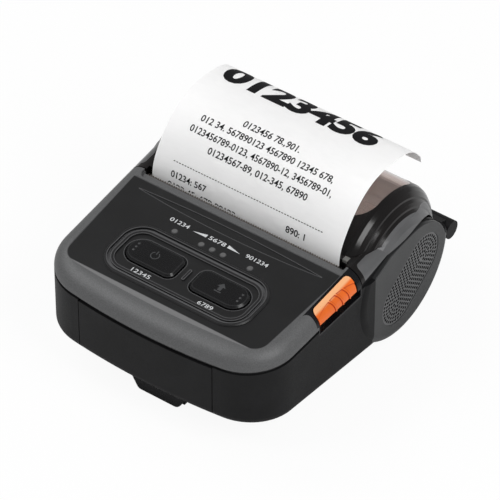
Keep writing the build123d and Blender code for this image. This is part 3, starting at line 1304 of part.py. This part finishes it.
# Rubber feet and case screws
with BuildPart() as rear_feet:
    with Locations((-FOOT_X, DRUM_Y), (FOOT_X, DRUM_Y)):
        Box(FOOT_L, FOOT_W, FOOT_SINK, align=STANDING)
save(rear_feet.part, "rear_feet")
SCREW_FOOT = SCREW_HEAD_Z - SCREW_HEAD_H
with BuildPart() as case_screws:
    with Locations(*[(x, y, SCREW_FOOT) for x, y in SCREW_SPOTS]):
        Cylinder(SCREW_HEAD_R, SCREW_HEAD_H, align=STANDING)
        Cylinder(SCREW_R, SCREW_TOP - SCREW_FOOT, align=STANDING)
save(case_screws.part, "case_screws")
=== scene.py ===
import bpy
import bmesh
import math
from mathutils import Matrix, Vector
from mathutils.bvhtree import BVHTree


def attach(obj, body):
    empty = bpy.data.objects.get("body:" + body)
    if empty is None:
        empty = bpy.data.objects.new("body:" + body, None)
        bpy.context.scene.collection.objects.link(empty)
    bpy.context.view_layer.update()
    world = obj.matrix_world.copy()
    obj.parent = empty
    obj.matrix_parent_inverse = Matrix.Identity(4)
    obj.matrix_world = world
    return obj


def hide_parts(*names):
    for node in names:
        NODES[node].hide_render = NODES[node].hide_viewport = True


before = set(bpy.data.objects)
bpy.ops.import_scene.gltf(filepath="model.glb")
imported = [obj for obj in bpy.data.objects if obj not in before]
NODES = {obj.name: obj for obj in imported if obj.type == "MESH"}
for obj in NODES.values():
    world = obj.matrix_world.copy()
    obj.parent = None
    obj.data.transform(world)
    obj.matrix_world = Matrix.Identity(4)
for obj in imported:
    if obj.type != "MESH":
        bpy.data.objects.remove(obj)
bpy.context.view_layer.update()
MM = 0.001

# Materials

GRAIN_DEPTH = 0.03 * MM
FIBRE_DEPTH = 0.04 * MM
COAT_ROUGH = 0.12


def shader(name):
    """New material with its tree, its principled shader and the object's coordinates."""
    made = bpy.data.materials.new(name)
    made.use_nodes = True
    tree = made.node_tree
    coords = tree.nodes.new("ShaderNodeTexCoord")
    return made, tree, tree.nodes["Principled BSDF"], coords.outputs["Object"]


def noise(tree, coords, scale, detail, stretch=(1, 1, 1)):
    """Noise of a given scale per metre, stretched along the axes."""
    place = tree.nodes.new("ShaderNodeMapping")
    place.inputs["Scale"].default_value = stretch
    tree.links.new(coords, place.inputs["Vector"])
    cloud = tree.nodes.new("ShaderNodeTexNoise")
    cloud.inputs["Scale"].default_value = scale
    cloud.inputs["Detail"].default_value = detail
    tree.links.new(place.outputs["Vector"], cloud.inputs["Vector"])
    return cloud.outputs["Fac"]


def ramp(tree, value, low, high, lo=0.3, hi=0.7):
    """A value spread between two numbers."""
    spread = tree.nodes.new("ShaderNodeMapRange")
    spread.inputs["From Min"].default_value = lo
    spread.inputs["From Max"].default_value = hi
    spread.inputs["To Min"].default_value = low
    spread.inputs["To Max"].default_value = high
    tree.links.new(value, spread.inputs["Value"])
    return spread.outputs["Result"]


def mix(tree, factor, a, b):
    """Two colours mixed by a factor socket."""
    blend = tree.nodes.new("ShaderNodeMix")
    blend.data_type = "RGBA"
    tree.links.new(factor, blend.inputs[0])
    for socket, colour in ((blend.inputs[6], a), (blend.inputs[7], b)):
        if isinstance(colour, tuple):
            socket.default_value = (*colour, 1)
        else:
            tree.links.new(colour, socket)
    return blend.outputs[2]


def surface(
    name, colour, rough, metal=0.0, vary=0.18, patch=90.0, grain=2400.0, bump=0.12, spread=0.06,
    specular=0.5, coat=0.0, stretch=(1, 1, 1),
):
    """Moulded or metal surface: cloudy colour, uneven gloss and a fine grain in the bump."""
    made, tree, bsdf, coords = shader(name)
    cloud = noise(tree, coords, patch, 4.0, stretch)
    fine = noise(tree, coords, grain, 2.0, stretch)
    dark = tuple(c * (1 - vary) for c in colour)
    light = tuple(min(1, c * (1 + vary)) for c in colour)
    tree.links.new(mix(tree, ramp(tree, cloud, 0, 1), dark, light), bsdf.inputs["Base Color"])
    tree.links.new(ramp(tree, fine, rough - spread, rough + spread), bsdf.inputs["Roughness"])
    bsdf.inputs["Metallic"].default_value = metal
    bsdf.inputs["Specular IOR Level"].default_value = specular
    if coat:
        bsdf.inputs["Coat Weight"].default_value = coat
        bsdf.inputs["Coat Roughness"].default_value = COAT_ROUGH
    relief = tree.nodes.new("ShaderNodeBump")
    relief.inputs["Strength"].default_value = bump
    relief.inputs["Distance"].default_value = GRAIN_DEPTH
    tree.links.new(fine, relief.inputs["Height"])
    tree.links.new(relief.outputs["Normal"], bsdf.inputs["Normal"])
    return made


def clear(name, colour, rough, through):
    """See-through plastic with faint cloudiness."""
    made = surface(name, colour, rough, vary=0.06, patch=60.0, grain=300.0, bump=0.0, spread=0.005)
    bsdf = made.node_tree.nodes["Principled BSDF"]
    bsdf.inputs["Transmission Weight"].default_value = through
    bsdf.inputs["IOR"].default_value = 1.46
    return made


CHARCOAL = surface("charcoal", (0.0095, 0.0095, 0.0100), 0.50, bump=0.35, specular=0.10)
BAND = surface(
    "metallic_band", (0.098, 0.099, 0.101), 0.56, metal=0.4, vary=0.20, patch=2600.0, grain=5200.0,
    bump=0.10, spread=0.05,
)
PANEL = surface("panel", (0.0050, 0.0050, 0.0054), 0.40, grain=3400.0, bump=0.4, specular=0.30)
KEY = surface("key", (0.0035, 0.0035, 0.0040), 0.26, grain=3000.0, bump=0.2, specular=0.26)
GLOSS = surface(
    "gloss_black", (0.005, 0.005, 0.006), 0.26, vary=0.3, bump=0.03, spread=0.05, specular=0.2
)
HOOD = surface(
    "hood_black", (0.005, 0.004, 0.004), 0.17, vary=0.3, bump=0.01, spread=0.02, specular=0.30
)
STRIP_COLOUR = (0.105, 0.106, 0.109)
STRIP = surface("strip_grey", STRIP_COLOUR, 0.38, metal=0.35, vary=0.10, spread=0.06)
CHEEK = surface(
    "cheek_grey", (0.037, 0.038, 0.039), 0.42, metal=0.2, vary=0.12, bump=0.3, specular=0.3
)
GRILLE = surface(
    "grille_grey", (0.100, 0.101, 0.103), 0.40, metal=0.2, vary=0.10, bump=0.3, specular=0.3
)
# Painted shade: near-black for the backing seen through the grille holes
HOLE_SHADE_BLACK = surface("painted_hole_shade", (0.0015, 0.0015, 0.0015), 0.80, vary=0.3, specular=0.05)
ORANGE = surface(
    "lever_orange", (0.74, 0.130, 0.008), 0.36, vary=0.08, bump=0.15, specular=0.35, coat=0.10
)
STEEL = surface(
    "steel", (0.50, 0.50, 0.51), 0.32, metal=1.0, vary=0.10, grain=1600.0, bump=0.2,
    stretch=(0.06, 1, 1),
)
TEAR = surface(
    "tear_steel", (0.32, 0.29, 0.27), 0.36, metal=1.0, vary=0.2, grain=1600.0, stretch=(0.06, 1, 1)
)
ALU = surface(
    "aluminium", (0.66, 0.67, 0.69), 0.40, metal=1.0, vary=0.08, grain=1200.0, stretch=(0.08, 1, 1)
)
CERAMIC = surface("ceramic", (0.62, 0.58, 0.50), 0.28, vary=0.05)
RUBBER = surface("rubber", (0.018, 0.018, 0.019), 0.72, bump=0.5, grain=1800.0)
GEAR = surface("gear_nylon", (0.70, 0.68, 0.60), 0.44, vary=0.05, bump=0.15)
CAN = surface("motor_can", (0.38, 0.38, 0.37), 0.42, metal=0.9, vary=0.12)
BOARD = surface("board", (0.012, 0.105, 0.040), 0.38, vary=0.25, patch=420.0, grain=1500.0)
CHIP = surface("chip", (0.020, 0.020, 0.021), 0.55, bump=0.3)
CARD = surface(
    "card", (0.34, 0.23, 0.14), 0.85, vary=0.18, patch=240.0, grain=1400.0, bump=0.6,
    stretch=(1, 0.25, 0.25),
)
FLAT_CABLE = surface(
    "flat_cable", (0.66, 0.66, 0.62), 0.48, vary=0.12, patch=1200.0, stretch=(1, 0.02, 0.02)
)
PALE = surface("pale_tab", (0.20, 0.20, 0.19), 0.40, vary=0.08)
PRINT = surface("printing", (0.006, 0.006, 0.007), 0.62, vary=0.35, patch=900.0, specular=0.12)
LEGEND = surface("legend", (0.50, 0.51, 0.52), 0.50, vary=0.08, patch=500.0)
ICON = surface("icon", (0.030, 0.031, 0.033), 0.50, vary=0.10, patch=500.0)
WINDOW = clear("smoked_window", (0.68, 0.54, 0.49), 0.03, 0.72)
LENS = clear("lens", (0.11, 0.11, 0.11), 0.20, 0.10)


def paper(name, colour):
    """Thermal paper: smooth coat, faint fibres and a soft translucency."""
    made, tree, bsdf, coords = shader(name)
    fibres = noise(tree, coords, 700.0, 5.0, (0.35, 1, 1))
    cloud = noise(tree, coords, 45.0, 2.0)
    tint = mix(tree, ramp(tree, cloud, 0, 1), tuple(c * 0.985 for c in colour), colour)
    tint = mix(tree, ramp(tree, fibres, 0, 1), tuple(c * 0.975 for c in colour), tint)
    tree.links.new(tint, bsdf.inputs["Base Color"])
    tree.links.new(ramp(tree, fibres, 0.50, 0.60), bsdf.inputs["Roughness"])
    bsdf.inputs["Subsurface Weight"].default_value = 0.5
    bsdf.inputs["Subsurface Radius"].default_value = (1, 1, 1)
    bsdf.inputs["Subsurface Scale"].default_value = 0.0012
    relief = tree.nodes.new("ShaderNodeBump")
    relief.inputs["Strength"].default_value = 0.08
    relief.inputs["Distance"].default_value = FIBRE_DEPTH
    tree.links.new(fibres, relief.inputs["Height"])
    tree.links.new(relief.outputs["Normal"], bsdf.inputs["Normal"])
    return made


PAPER = paper("thermal_paper", (0.93, 0.93, 0.93))


def banded(made, lines, colour):
    """Second colour where each coordinate's size, in metres, has gone from its start to its stop."""
    tree = made.node_tree
    bsdf = tree.nodes["Principled BSDF"]
    coords = tree.nodes.new("ShaderNodeTexCoord")
    parts = tree.nodes.new("ShaderNodeSeparateXYZ")
    tree.links.new(coords.outputs["Object"], parts.inputs[0])
    mask = None
    for axis, start, stop in lines:
        size = tree.nodes.new("ShaderNodeMath")
        size.operation = "ABSOLUTE"
        tree.links.new(parts.outputs[axis], size.inputs[0])
        past = ramp(tree, size.outputs[0], 0, 1, start, stop)
        if mask is not None:
            both = tree.nodes.new("ShaderNodeMath")
            both.operation = "MULTIPLY"
            tree.links.new(mask, both.inputs[0])
            tree.links.new(past, both.inputs[1])
            past = both.outputs[0]
        mask = past
    first = bsdf.inputs["Base Color"].links[0].from_socket
    tree.links.new(mix(tree, mask, first, colour), bsdf.inputs["Base Color"])


def painted_relief_light(made, reach, low, high, colour, edges=False):
    """Painted shade in the hollows of the relief, or else a painted highlight along its outer edges,
    from ambient occlusion.
    """
    tree = made.node_tree
    bsdf = tree.nodes["Principled BSDF"]
    hollow = tree.nodes.new("ShaderNodeAmbientOcclusion")
    hollow.inside = edges
    hollow.inputs["Distance"].default_value = reach
    first = bsdf.inputs["Base Color"].links[0].from_socket
    shade = ramp(tree, hollow.outputs["AO"], 1, 0, low, high)
    tree.links.new(mix(tree, shade, first, colour), bsdf.inputs["Base Color"])


# Crescent along the panel's front, the lever's paler inner edge (partly its own colour, partly a
# painted highlight on its top facet) and the hood's outer edge, in metres
CRESCENT = [("Y", 0.0537, 0.0540)]
LEVER_PALE_AND_HIGHLIT = [("X", 0.0470, 0.0463)]
HOOD_EDGE = [("X", 0.0470, 0.0471), ("Y", 0.0050, 0.0052), ("Z", 0.0380, 0.0382)]
banded(PANEL, CRESCENT, (0.13, 0.13, 0.132))
banded(ORANGE, LEVER_PALE_AND_HIGHLIT, (0.80, 0.40, 0.19))
# Painted highlights along the raised edges of the panel, such as its ring, and of the keys
painted_relief_light(PANEL, 0.00045, 0.60, 0.94, (0.085, 0.085, 0.088), True)
painted_relief_light(KEY, 0.0006, 0.72, 0.96, (0.050, 0.050, 0.052), True)
# Painted shade in the hollows between the lever's ridges
painted_relief_light(ORANGE, 0.0010, 0.70, 0.93, (0.42, 0.028, 0.002))
banded(HOOD, HOOD_EDGE, STRIP_COLOUR)

FINISH = {
    "lower_case": CHARCOAL, "top_cover": BAND, "seam_gasket": RUBBER, "control_panel": PANEL,
    "power_button": KEY, "feed_button": KEY, "led_lenses": LENS, "tear_bar": TEAR,
    "open_lever": ORANGE, "lever_guide": GLOSS, "lid_shell": STRIP, "lid_frame": HOOD,
    "lid_window": WINDOW, "lid_tab": PALE, "side_cheek_right": CHEEK, "side_cheek_left": CHEEK,
    "side_grille_right": CHEEK, "side_grille_left": CHEEK, "hinge_rod": STEEL, "receipt": PAPER,
    "battery_pack": CHARCOAL, "belt_clip": GLOSS, "paper_roll": PAPER, "roll_core": CARD,
    "paper_web": PAPER, "platen_shaft": STEEL, "platen_roller": RUBBER, "platen_gear": GEAR,
    "platen_bushes": GEAR, "idler_gear": GEAR, "idler_pin": STEEL, "motor_pinion": STEEL,
    "stepper_motor": CAN, "print_head": CERAMIC, "heat_sink": ALU, "head_springs": STEEL,
    "mechanism_frame": STEEL, "latch_shaft": STEEL, "latch_hooks": STEEL, "lever_spring": STEEL,
    "circuit_board": BOARD, "tact_switches": CHIP, "board_parts": CHIP, "power_socket": CHIP,
    "data_socket": STEEL, "battery_contacts": CHIP, "ribbon_cable": FLAT_CABLE,
    "paper_sensor": CHIP, "clip_pin": STEEL, "clip_spring": STEEL, "rear_feet": RUBBER,
    "case_screws": STEEL,
}
for label, node in NODES.items():
    for place in node.material_slots:
        place.material = FINISH[label]

# Pieces on the sloping top, in millimetres

TOP_Z = 47.2
TOP_SLOPE = 0.045
PANEL_SUNK = 0.15
WELL_DEEP = 0.2
KEY_PROUD = 0.7
FILM = 0.012
LABEL_LIFT = FILM - PANEL_SUNK
WELL_LIFT = LABEL_LIFT - WELL_DEEP
KEY_LIFT = KEY_PROUD + FILM
FONT_SIZE = 10.0
ARC_STEPS = 28


def top_point(x, y, lift):
    """A point over the sloping top, in metres, from plan millimetres."""
    return Vector((x * MM, y * MM, (TOP_Z + TOP_SLOPE * y + lift) * MM))


def finish_piece(name, mesh, material, body):
    """Mesh as a piece of the object with its material, body and slot."""
    piece = bpy.data.objects.new(name, mesh)
    bpy.context.scene.collection.objects.link(piece)
    mesh.materials.clear()
    mesh.materials.append(material)
    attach(piece, body)
    return piece


def letters(body, x0, x1, y0, y1, bold):
    """Flat letters that fill a box in plan millimetres, as (points, faces)."""
    curve = bpy.data.curves.new("letters", "FONT")
    curve.body = body
    curve.align_x = "CENTER"
    curve.align_y = "CENTER"
    curve.size = FONT_SIZE
    curve.offset = bold
    curve.resolution_u = 4
    holder = bpy.data.objects.new("letters", curve)
    bpy.context.scene.collection.objects.link(holder)
    mesh = bpy.data.meshes.new_from_object(holder)
    points = [(v.co.x, v.co.y) for v in mesh.vertices]
    faces = [tuple(p.vertices) for p in mesh.polygons]
    bpy.data.objects.remove(holder)
    left, right = min(p[0] for p in points), max(p[0] for p in points)
    low, high = min(p[1] for p in points), max(p[1] for p in points)
    wide = (x1 - x0) / (right - left)
    tall = (y1 - y0) / (high - low)
    return [(x0 + (px - left) * wide, y0 + (py - low) * tall) for px, py in points], faces


def arc(x, y, outer, inner, start, stop):
    """Flat arc between two angles in plan millimetres, as (points, faces)."""
    points = []
    for i in range(ARC_STEPS + 1):
        turn = math.radians(start + (stop - start) * i / ARC_STEPS)
        for radius in (outer, inner):
            points.append((x + radius * math.cos(turn), y + radius * math.sin(turn)))
    faces = [(2 * i, 2 * i + 2, 2 * i + 3, 2 * i + 1) for i in range(ARC_STEPS)]
    return points, faces


def bar(x0, x1, y0, y1):
    """Flat rectangle as (points, faces)."""
    return [(x0, y0), (x1, y0), (x1, y1), (x0, y1)], [(0, 1, 2, 3)]


def joined(shapes):
    """Several (points, faces) as one."""
    points = []
    faces = []
    for shape_points, shape_faces in shapes:
        base = len(points)
        points += shape_points
        faces += [tuple(base + i for i in face) for face in shape_faces]
    return points, faces


def legend(name, shapes, lift, material, body):
    """Flat shapes laid on the sloping top, at a height over it, as one piece."""
    points, faces = joined(shapes)
    mesh = bpy.data.meshes.new(name)
    mesh.from_pydata([top_point(x, y, lift) for x, y in points], [], faces)
    mesh.update()
    finish_piece(name, mesh, material, body)


LAMP_ROW = (-19.8, -18.0)
LAMP_BOLD = 0.10
KEY_ROW = (-46.8, -45.0)
KEY_BOLD = 0.08
legend("lamp_labels", [
    letters("01234", -20.9, -12.8, *LAMP_ROW, LAMP_BOLD),
    letters("5678", -4.3, 2.7, *LAMP_ROW, LAMP_BOLD),
    letters("901234", 11.3, 20.5, *LAMP_ROW, LAMP_BOLD),
    ([(-10.9, -19.6), (-5.3, -19.6), (-5.3, -18.2)], [(0, 1, 2)]),
    ([(3.7, -18.2), (3.7, -19.6), (9.3, -19.6)], [(0, 1, 2)]),
], LABEL_LIFT, LEGEND, "case")
legend("key_labels", [
    letters("12345", -17.5, -9.7, *KEY_ROW, KEY_BOLD),
    letters("6789", 10.5, 16.7, *KEY_ROW, KEY_BOLD),
], WELL_LIFT, LEGEND, "case")
legend("power_icon", [
    arc(-14.0, -37.2, 1.75, 1.40, 120.0, 420.0),
    bar(-14.2, -13.8, -36.6, -34.9),
], KEY_LIFT, ICON, "power_key")
legend("feed_icon", [
    ([(12.0, -36.6), (15.4, -36.6), (13.7, -34.8)], [(0, 1, 2)]),
    bar(13.0, 14.4, -38.4, -36.6),
    bar(12.3, 15.1, -39.3, -38.8),
], KEY_LIFT, ICON, "feed_key")

DOT_X = 22
DOT_ROWS = (-35.6, -37.3, -39.0)
DOT_R = 0.42
DOT_HIGH = 0.22
DOT_SIDES = 14
DOT_RINGS = 8


def dots(name, x, body):
    """Three small domed bumps in a row on a key."""
    shape = bmesh.new()
    for y in DOT_ROWS:
        ball = bmesh.ops.create_uvsphere(
            shape, u_segments=DOT_SIDES, v_segments=DOT_RINGS, radius=DOT_R * MM
        )
        bmesh.ops.scale(shape, vec=(1, 1, DOT_HIGH / DOT_R), verts=ball["verts"])
        bmesh.ops.translate(shape, vec=top_point(x, y, KEY_PROUD), verts=ball["verts"])
    mesh = bpy.data.meshes.new(name)
    shape.to_mesh(mesh)
    shape.free()
    for face in mesh.polygons:
        face.use_smooth = True
    finish_piece(name, mesh, KEY, body)


dots("power_dots", -DOT_X, "power_key")
dots("feed_dots", DOT_X, "feed_key")

# Receipt print, wrapped on the paper, in millimetres and degrees

CURL_MIDDLE = Vector((0, 23.0, 46.0))
FAN_RAYS = 400
FAN_START = 180.0
FAN_TURN = 160.0
FAN_REACH = 80
PRINT_REACH = 3
PRINT_LIFT = 0.03
PRINT_STEP = 0.7
RECEIPT = BVHTree.FromObject(NODES["receipt"], bpy.context.evaluated_depsgraph_get())


def paper_line():
    """Points (y, z) of the paper's middle line and how far along it each is, from a fan of rays."""
    found = []
    for i in range(FAN_RAYS):
        turn = math.radians(FAN_START - FAN_TURN * i / (FAN_RAYS - 1))
        out = Vector((0, math.cos(turn), math.sin(turn)))
        hit = RECEIPT.ray_cast((CURL_MIDDLE + out * FAN_REACH) * MM, -out)[0]
        if hit is not None:
            found.append((hit.y / MM, hit.z / MM))
    length = [0.0]
    for a, b in zip(found, found[1:]):
        length.append(length[-1] + math.hypot(b[0] - a[0], b[1] - a[1]))
    return found, length


LINE, LENGTH = paper_line()


def on_paper(x, s):
    """Point just over the paper, at x and s millimetres along its middle line, in metres."""
    s = min(max(s, LENGTH[0]), LENGTH[-1] - 1e-6)
    i = max(j for j in range(len(LENGTH) - 1) if LENGTH[j] <= s)
    share = (s - LENGTH[i]) / (LENGTH[i + 1] - LENGTH[i])
    (ya, za), (yb, zb) = LINE[i], LINE[i + 1]
    along = math.hypot(yb - ya, zb - za)
    out = Vector((0, -(zb - za) / along, (yb - ya) / along))
    middle = Vector((x, ya + (yb - ya) * share, za + (zb - za) * share)) * MM
    hit = RECEIPT.ray_cast(middle + out * PRINT_REACH * MM, -out, 2 * PRINT_REACH * MM)[0]
    return (hit or middle) + out * PRINT_LIFT * MM


def sliced(mesh, height, drop_below=False):
    """Cut a flat mesh across at a height and, if asked, drop what lies below."""
    everything = mesh.verts[:] + mesh.edges[:] + mesh.faces[:]
    bmesh.ops.bisect_plane(
        mesh, geom=everything, plane_co=(0, height, 0), plane_no=(0, 1, 0), clear_inner=drop_below
    )


def fine(shape):
    """Shape over the slot's line, cut into pieces short enough to bend with the paper."""
    points, faces = shape
    mesh = bmesh.new()
    made = [mesh.verts.new((x, y, 0)) for x, y in points]
    for face in faces:
        mesh.faces.new([made[i] for i in face])
    high = max(p[1] for p in points)
    cut = min(p[1] for p in points) + PRINT_STEP
    while cut < high:
        sliced(mesh, cut)
        cut += PRINT_STEP
    sliced(mesh, 0, True)
    mesh.verts.index_update()
    out_points = [(v.co.x, v.co.y) for v in mesh.verts]
    out_faces = [tuple(v.index for v in f.verts) for f in mesh.faces]
    mesh.free()
    return out_points, out_faces


HEAD_BOLD = 0.5
ROW_BOLD = 0.16
DASHES = 54
DASH_START = -32.2
DASH_LONG = 0.75
DASH_PITCH = 1.18
DASH_ROW = (9.0, 9.3)
rows = [
    letters("0123456", -36.0, 29.0, 46.4, 59.6, HEAD_BOLD),
    letters("0123456 78.,901.", -14.0, 10.0, 30.0, 33.2, ROW_BOLD),
    letters("012 34. 567890123 4567890 12345 678,", -29.0, 27.0, 25.4, 28.4, ROW_BOLD),
    letters("0123456789-0123, 4567890-12, 3456789-01,", -31.0, 29.0, 20.7, 23.7, ROW_BOLD),
    letters("01234567-89, 012-345, 67890", -21.0, 21.0, 16.0, 19.0, ROW_BOLD),
    letters("01234: 567", -32.0, -17.0, 3.0, 5.7, ROW_BOLD),
    letters("890: 1", 17.0, 25.0, 3.0, 5.7, ROW_BOLD),
    letters("0123 45: 678-90123", -33.0, -4.0, -1.8, 0.9, ROW_BOLD),
]
for i in range(DASHES):
    start = DASH_START + i * DASH_PITCH
    rows.append(bar(start, start + DASH_LONG, *DASH_ROW))
points, faces = joined(fine(shape) for shape in rows)
printed = bpy.data.meshes.new("receipt_print")
printed.from_pydata([on_paper(x, y) for x, y in points], [], faces)
printed.update()
finish_piece("receipt_print", printed, PRINT, "lid")

# Perforated grille fields in the cheeks, in millimetres

GRILLE_A = (18.2, 18.6)
GRILLE_B = (31.8, 27.3)
GRILLE_R = 10.3
HOLE_R = 0.60
HOLE_PITCH = 1.62
HOLE_SLANT = 0.31
HOLE_ROWS = 6
HOLE_SIDES = 14
ROW_PITCH = 1.5
RIM_GAP = 0.02
RIM_STEPS = 96
PLATE_X = 50.14
PLATE_HALF = 0.06
BACKING_X = 50.05
ALONG = math.hypot(GRILLE_B[0] - GRILLE_A[0], GRILLE_B[1] - GRILLE_A[1])
TILT = math.atan2(GRILLE_B[1] - GRILLE_A[1], GRILLE_B[0] - GRILLE_A[0])


def on_stadium(radius, s):
    """(y, z) at s millimetres round a slot-shaped line at a distance from the grille's middle line."""
    s %= 2 * ALONG + 2 * math.pi * radius
    if s < ALONG:
        u, v = s, radius
    elif s < ALONG + math.pi * radius:
        turn = math.pi / 2 - (s - ALONG) / radius
        u, v = ALONG + radius * math.cos(turn), radius * math.sin(turn)
    elif s < 2 * ALONG + math.pi * radius:
        u, v = ALONG - (s - ALONG - math.pi * radius), -radius
    else:
        turn = -math.pi / 2 - (s - 2 * ALONG - math.pi * radius) / radius
        u, v = radius * math.cos(turn), radius * math.sin(turn)
    y = GRILLE_A[0] + u * math.cos(TILT) - v * math.sin(TILT)
    z = GRILLE_A[1] + u * math.sin(TILT) + v * math.cos(TILT)
    return y, z


def rim():
    """Points round the edge of the grille field."""
    radius = GRILLE_R - RIM_GAP
    total = 2 * ALONG + 2 * math.pi * radius
    return [on_stadium(radius, total * i / RIM_STEPS) for i in range(RIM_STEPS)]


def hole_spots(radius):
    """Hole middles of one ring, evenly spaced round its ends.

    Each ring starts further along its straight sides, so that the holes line up on a slant.
    """
    first = (HOLE_SLANT * radius) % HOLE_PITCH
    count = int((ALONG - first) / HOLE_PITCH)
    last = first + count * HOLE_PITCH
    total = 2 * ALONG + 2 * math.pi * radius
    back = total - math.pi * radius - first
    spots = [on_stadium(radius, first + i * HOLE_PITCH) for i in range(count + 1)]
    spots += [on_stadium(radius, back - i * HOLE_PITCH) for i in range(count + 1)]
    for start, gap in (
        (last, 2 * (ALONG - last) + math.pi * radius),
        (back, 2 * first + math.pi * radius),
    ):
        parts = max(1, round(gap / HOLE_PITCH))
        spots += [on_stadium(radius, start + gap * i / parts) for i in range(1, parts)]
    return spots


def closed_spline(curve, spots):
    """Closed straight-sided spline through plan spots."""
    line = curve.splines.new("POLY")
    line.points.add(len(spots) - 1)
    for point, (u, v) in zip(line.points, spots):
        point.co = (u, v, 0, 1)
    line.use_cyclic_u = True


def grille(side, name, node):
    """Thin plate with rows of round holes over a dark backing, painted shade for the inside of the
    holes, in place of the plain plate.
    """
    curve = bpy.data.curves.new("grille", "CURVE")
    curve.dimensions = "2D"
    curve.fill_mode = "BOTH"
    closed_spline(curve, rim())
    spots = [on_stadium(0, i * HOLE_PITCH) for i in range(int(ALONG / HOLE_PITCH) + 1)]
    for i in range(1, HOLE_ROWS + 1):
        spots += hole_spots(i * ROW_PITCH)
    for y, z in spots:
        turns = [2 * math.pi * k / HOLE_SIDES for k in range(HOLE_SIDES)]
        closed_spline(curve, [(y + HOLE_R * math.cos(t), z + HOLE_R * math.sin(t)) for t in turns])
    curve.extrude = PLATE_HALF
    holder = bpy.data.objects.new("grille", curve)
    bpy.context.scene.collection.objects.link(holder)
    mesh = bpy.data.meshes.new_from_object(holder)
    bpy.data.objects.remove(holder)
    for v in mesh.vertices:
        u, w, depth = v.co
        v.co = (side * (PLATE_X + depth) * MM, u * MM, w * MM)
    if side > 0:
        mesh.flip_normals()
    piece = finish_piece(name, mesh, GRILLE, "case")
    # Near-black sheet just behind the plate: painted shade inside the holes
    back = bpy.data.meshes.new(name + "_back")
    edge = [(side * BACKING_X * MM, y * MM, z * MM) for y, z in rim()]
    back.from_pydata(edge, [], [tuple(range(RIM_STEPS))])
    finish_piece(name + "_back", back, HOLE_SHADE_BLACK, "case")
    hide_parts(node)


grille(1, "grille_plate_right", "side_grille_right")
grille(-1, "grille_plate_left", "side_grille_left")

# Floor, backdrop, light and camera, in metres

FLOOR_SIZE = 8.0
FLOOR_DROP = 0.02 * MM
FLOOR_GLOW = 0.93
FILL_LIGHT = 0.39
LAMP_AIM = Vector((0, 0, 0.03))
CAMERA_AIM = Vector((0.0, -0.004, 0.0456))
CAMERA_SIDE = Vector((0.4291, -0.5966, 0.6783)).normalized()
CAMERA_FAR = 1.5
CAMERA_LENS = 311.76
CAMERA_SHIFT = (0.01054, -0.06038)

bpy.ops.mesh.primitive_plane_add(size=FLOOR_SIZE, location=(0, 0, -FLOOR_DROP))
floor = bpy.context.object
floor.name = "floor"

# To the camera the floor mostly glows, so that only a faint shadow shows. To the lamps it is grey
ground = bpy.data.materials.new("floor")
ground.use_nodes = True
tree = ground.node_tree
tree.nodes.clear()
out = tree.nodes.new("ShaderNodeOutputMaterial")
diffuse = tree.nodes.new("ShaderNodeBsdfDiffuse")
diffuse.inputs["Color"].default_value = (0.8, 0.8, 0.8, 1)
glow = tree.nodes.new("ShaderNodeEmission")
glow.inputs["Strength"].default_value = 1.0
blend = tree.nodes.new("ShaderNodeMixShader")
rays = tree.nodes.new("ShaderNodeLightPath")
keep = tree.nodes.new("ShaderNodeMath")
keep.operation = "MULTIPLY"
keep.inputs[1].default_value = FLOOR_GLOW
either = tree.nodes.new("ShaderNodeMath")
either.operation = "MAXIMUM"
tree.links.new(rays.outputs["Is Camera Ray"], either.inputs[0])
tree.links.new(rays.outputs["Is Transmission Ray"], either.inputs[1])
tree.links.new(either.outputs[0], keep.inputs[0])
tree.links.new(keep.outputs[0], blend.inputs[0])
tree.links.new(diffuse.outputs[0], blend.inputs[1])
tree.links.new(glow.outputs[0], blend.inputs[2])
tree.links.new(blend.outputs[0], out.inputs["Surface"])
floor.data.materials.append(ground)

# The backdrop is white to the camera and a dimmer fill to the object
world = bpy.data.worlds.new("studio")
bpy.context.scene.world = world
world.use_nodes = True
tree = world.node_tree
tree.nodes.clear()
out = tree.nodes.new("ShaderNodeOutputWorld")
fill = tree.nodes.new("ShaderNodeBackground")
fill.inputs["Color"].default_value = (1, 1, 1, 1)
fill.inputs["Strength"].default_value = FILL_LIGHT
white = tree.nodes.new("ShaderNodeBackground")
white.inputs["Color"].default_value = (1, 1, 1, 1)
white.inputs["Strength"].default_value = 1.0
rays = tree.nodes.new("ShaderNodeLightPath")
pick = tree.nodes.new("ShaderNodeMixShader")
tree.links.new(rays.outputs["Is Camera Ray"], pick.inputs[0])
tree.links.new(fill.outputs[0], pick.inputs[1])
tree.links.new(white.outputs[0], pick.inputs[2])
tree.links.new(pick.outputs[0], out.inputs["Surface"])


def lamp(name, place, size, power):
    """Soft rectangular lamp pointed at the object."""
    light = bpy.data.lights.new(name, "AREA")
    light.shape = "RECTANGLE"
    light.size, light.size_y = size
    light.energy = power
    holder = bpy.data.objects.new(name, light)
    bpy.context.scene.collection.objects.link(holder)
    holder.location = place
    holder.rotation_euler = (LAMP_AIM - Vector(place)).to_track_quat("-Z", "Y").to_euler()


lamp("key", (-0.80, 0.05, 0.95), (0.6, 0.6), 4.4)
lamp("side", (0.80, -0.10, 0.80), (0.5, 0.6), 7.4)
lamp("front", (-0.50, -0.55, 0.90), (0.35, 0.3), 3.4)

camera = bpy.data.cameras.new("camera")
camera.lens = CAMERA_LENS
camera.sensor_width = 36.0
camera.shift_x, camera.shift_y = CAMERA_SHIFT
eye = bpy.data.objects.new("camera", camera)
bpy.context.scene.collection.objects.link(eye)
eye.location = CAMERA_AIM + CAMERA_SIDE * CAMERA_FAR
eye.rotation_euler = CAMERA_SIDE.to_track_quat("Z", "Y").to_euler()
bpy.context.scene.camera = eye
bpy.context.scene.view_settings.view_transform = "Standard"

bpy.context.view_layer.update()
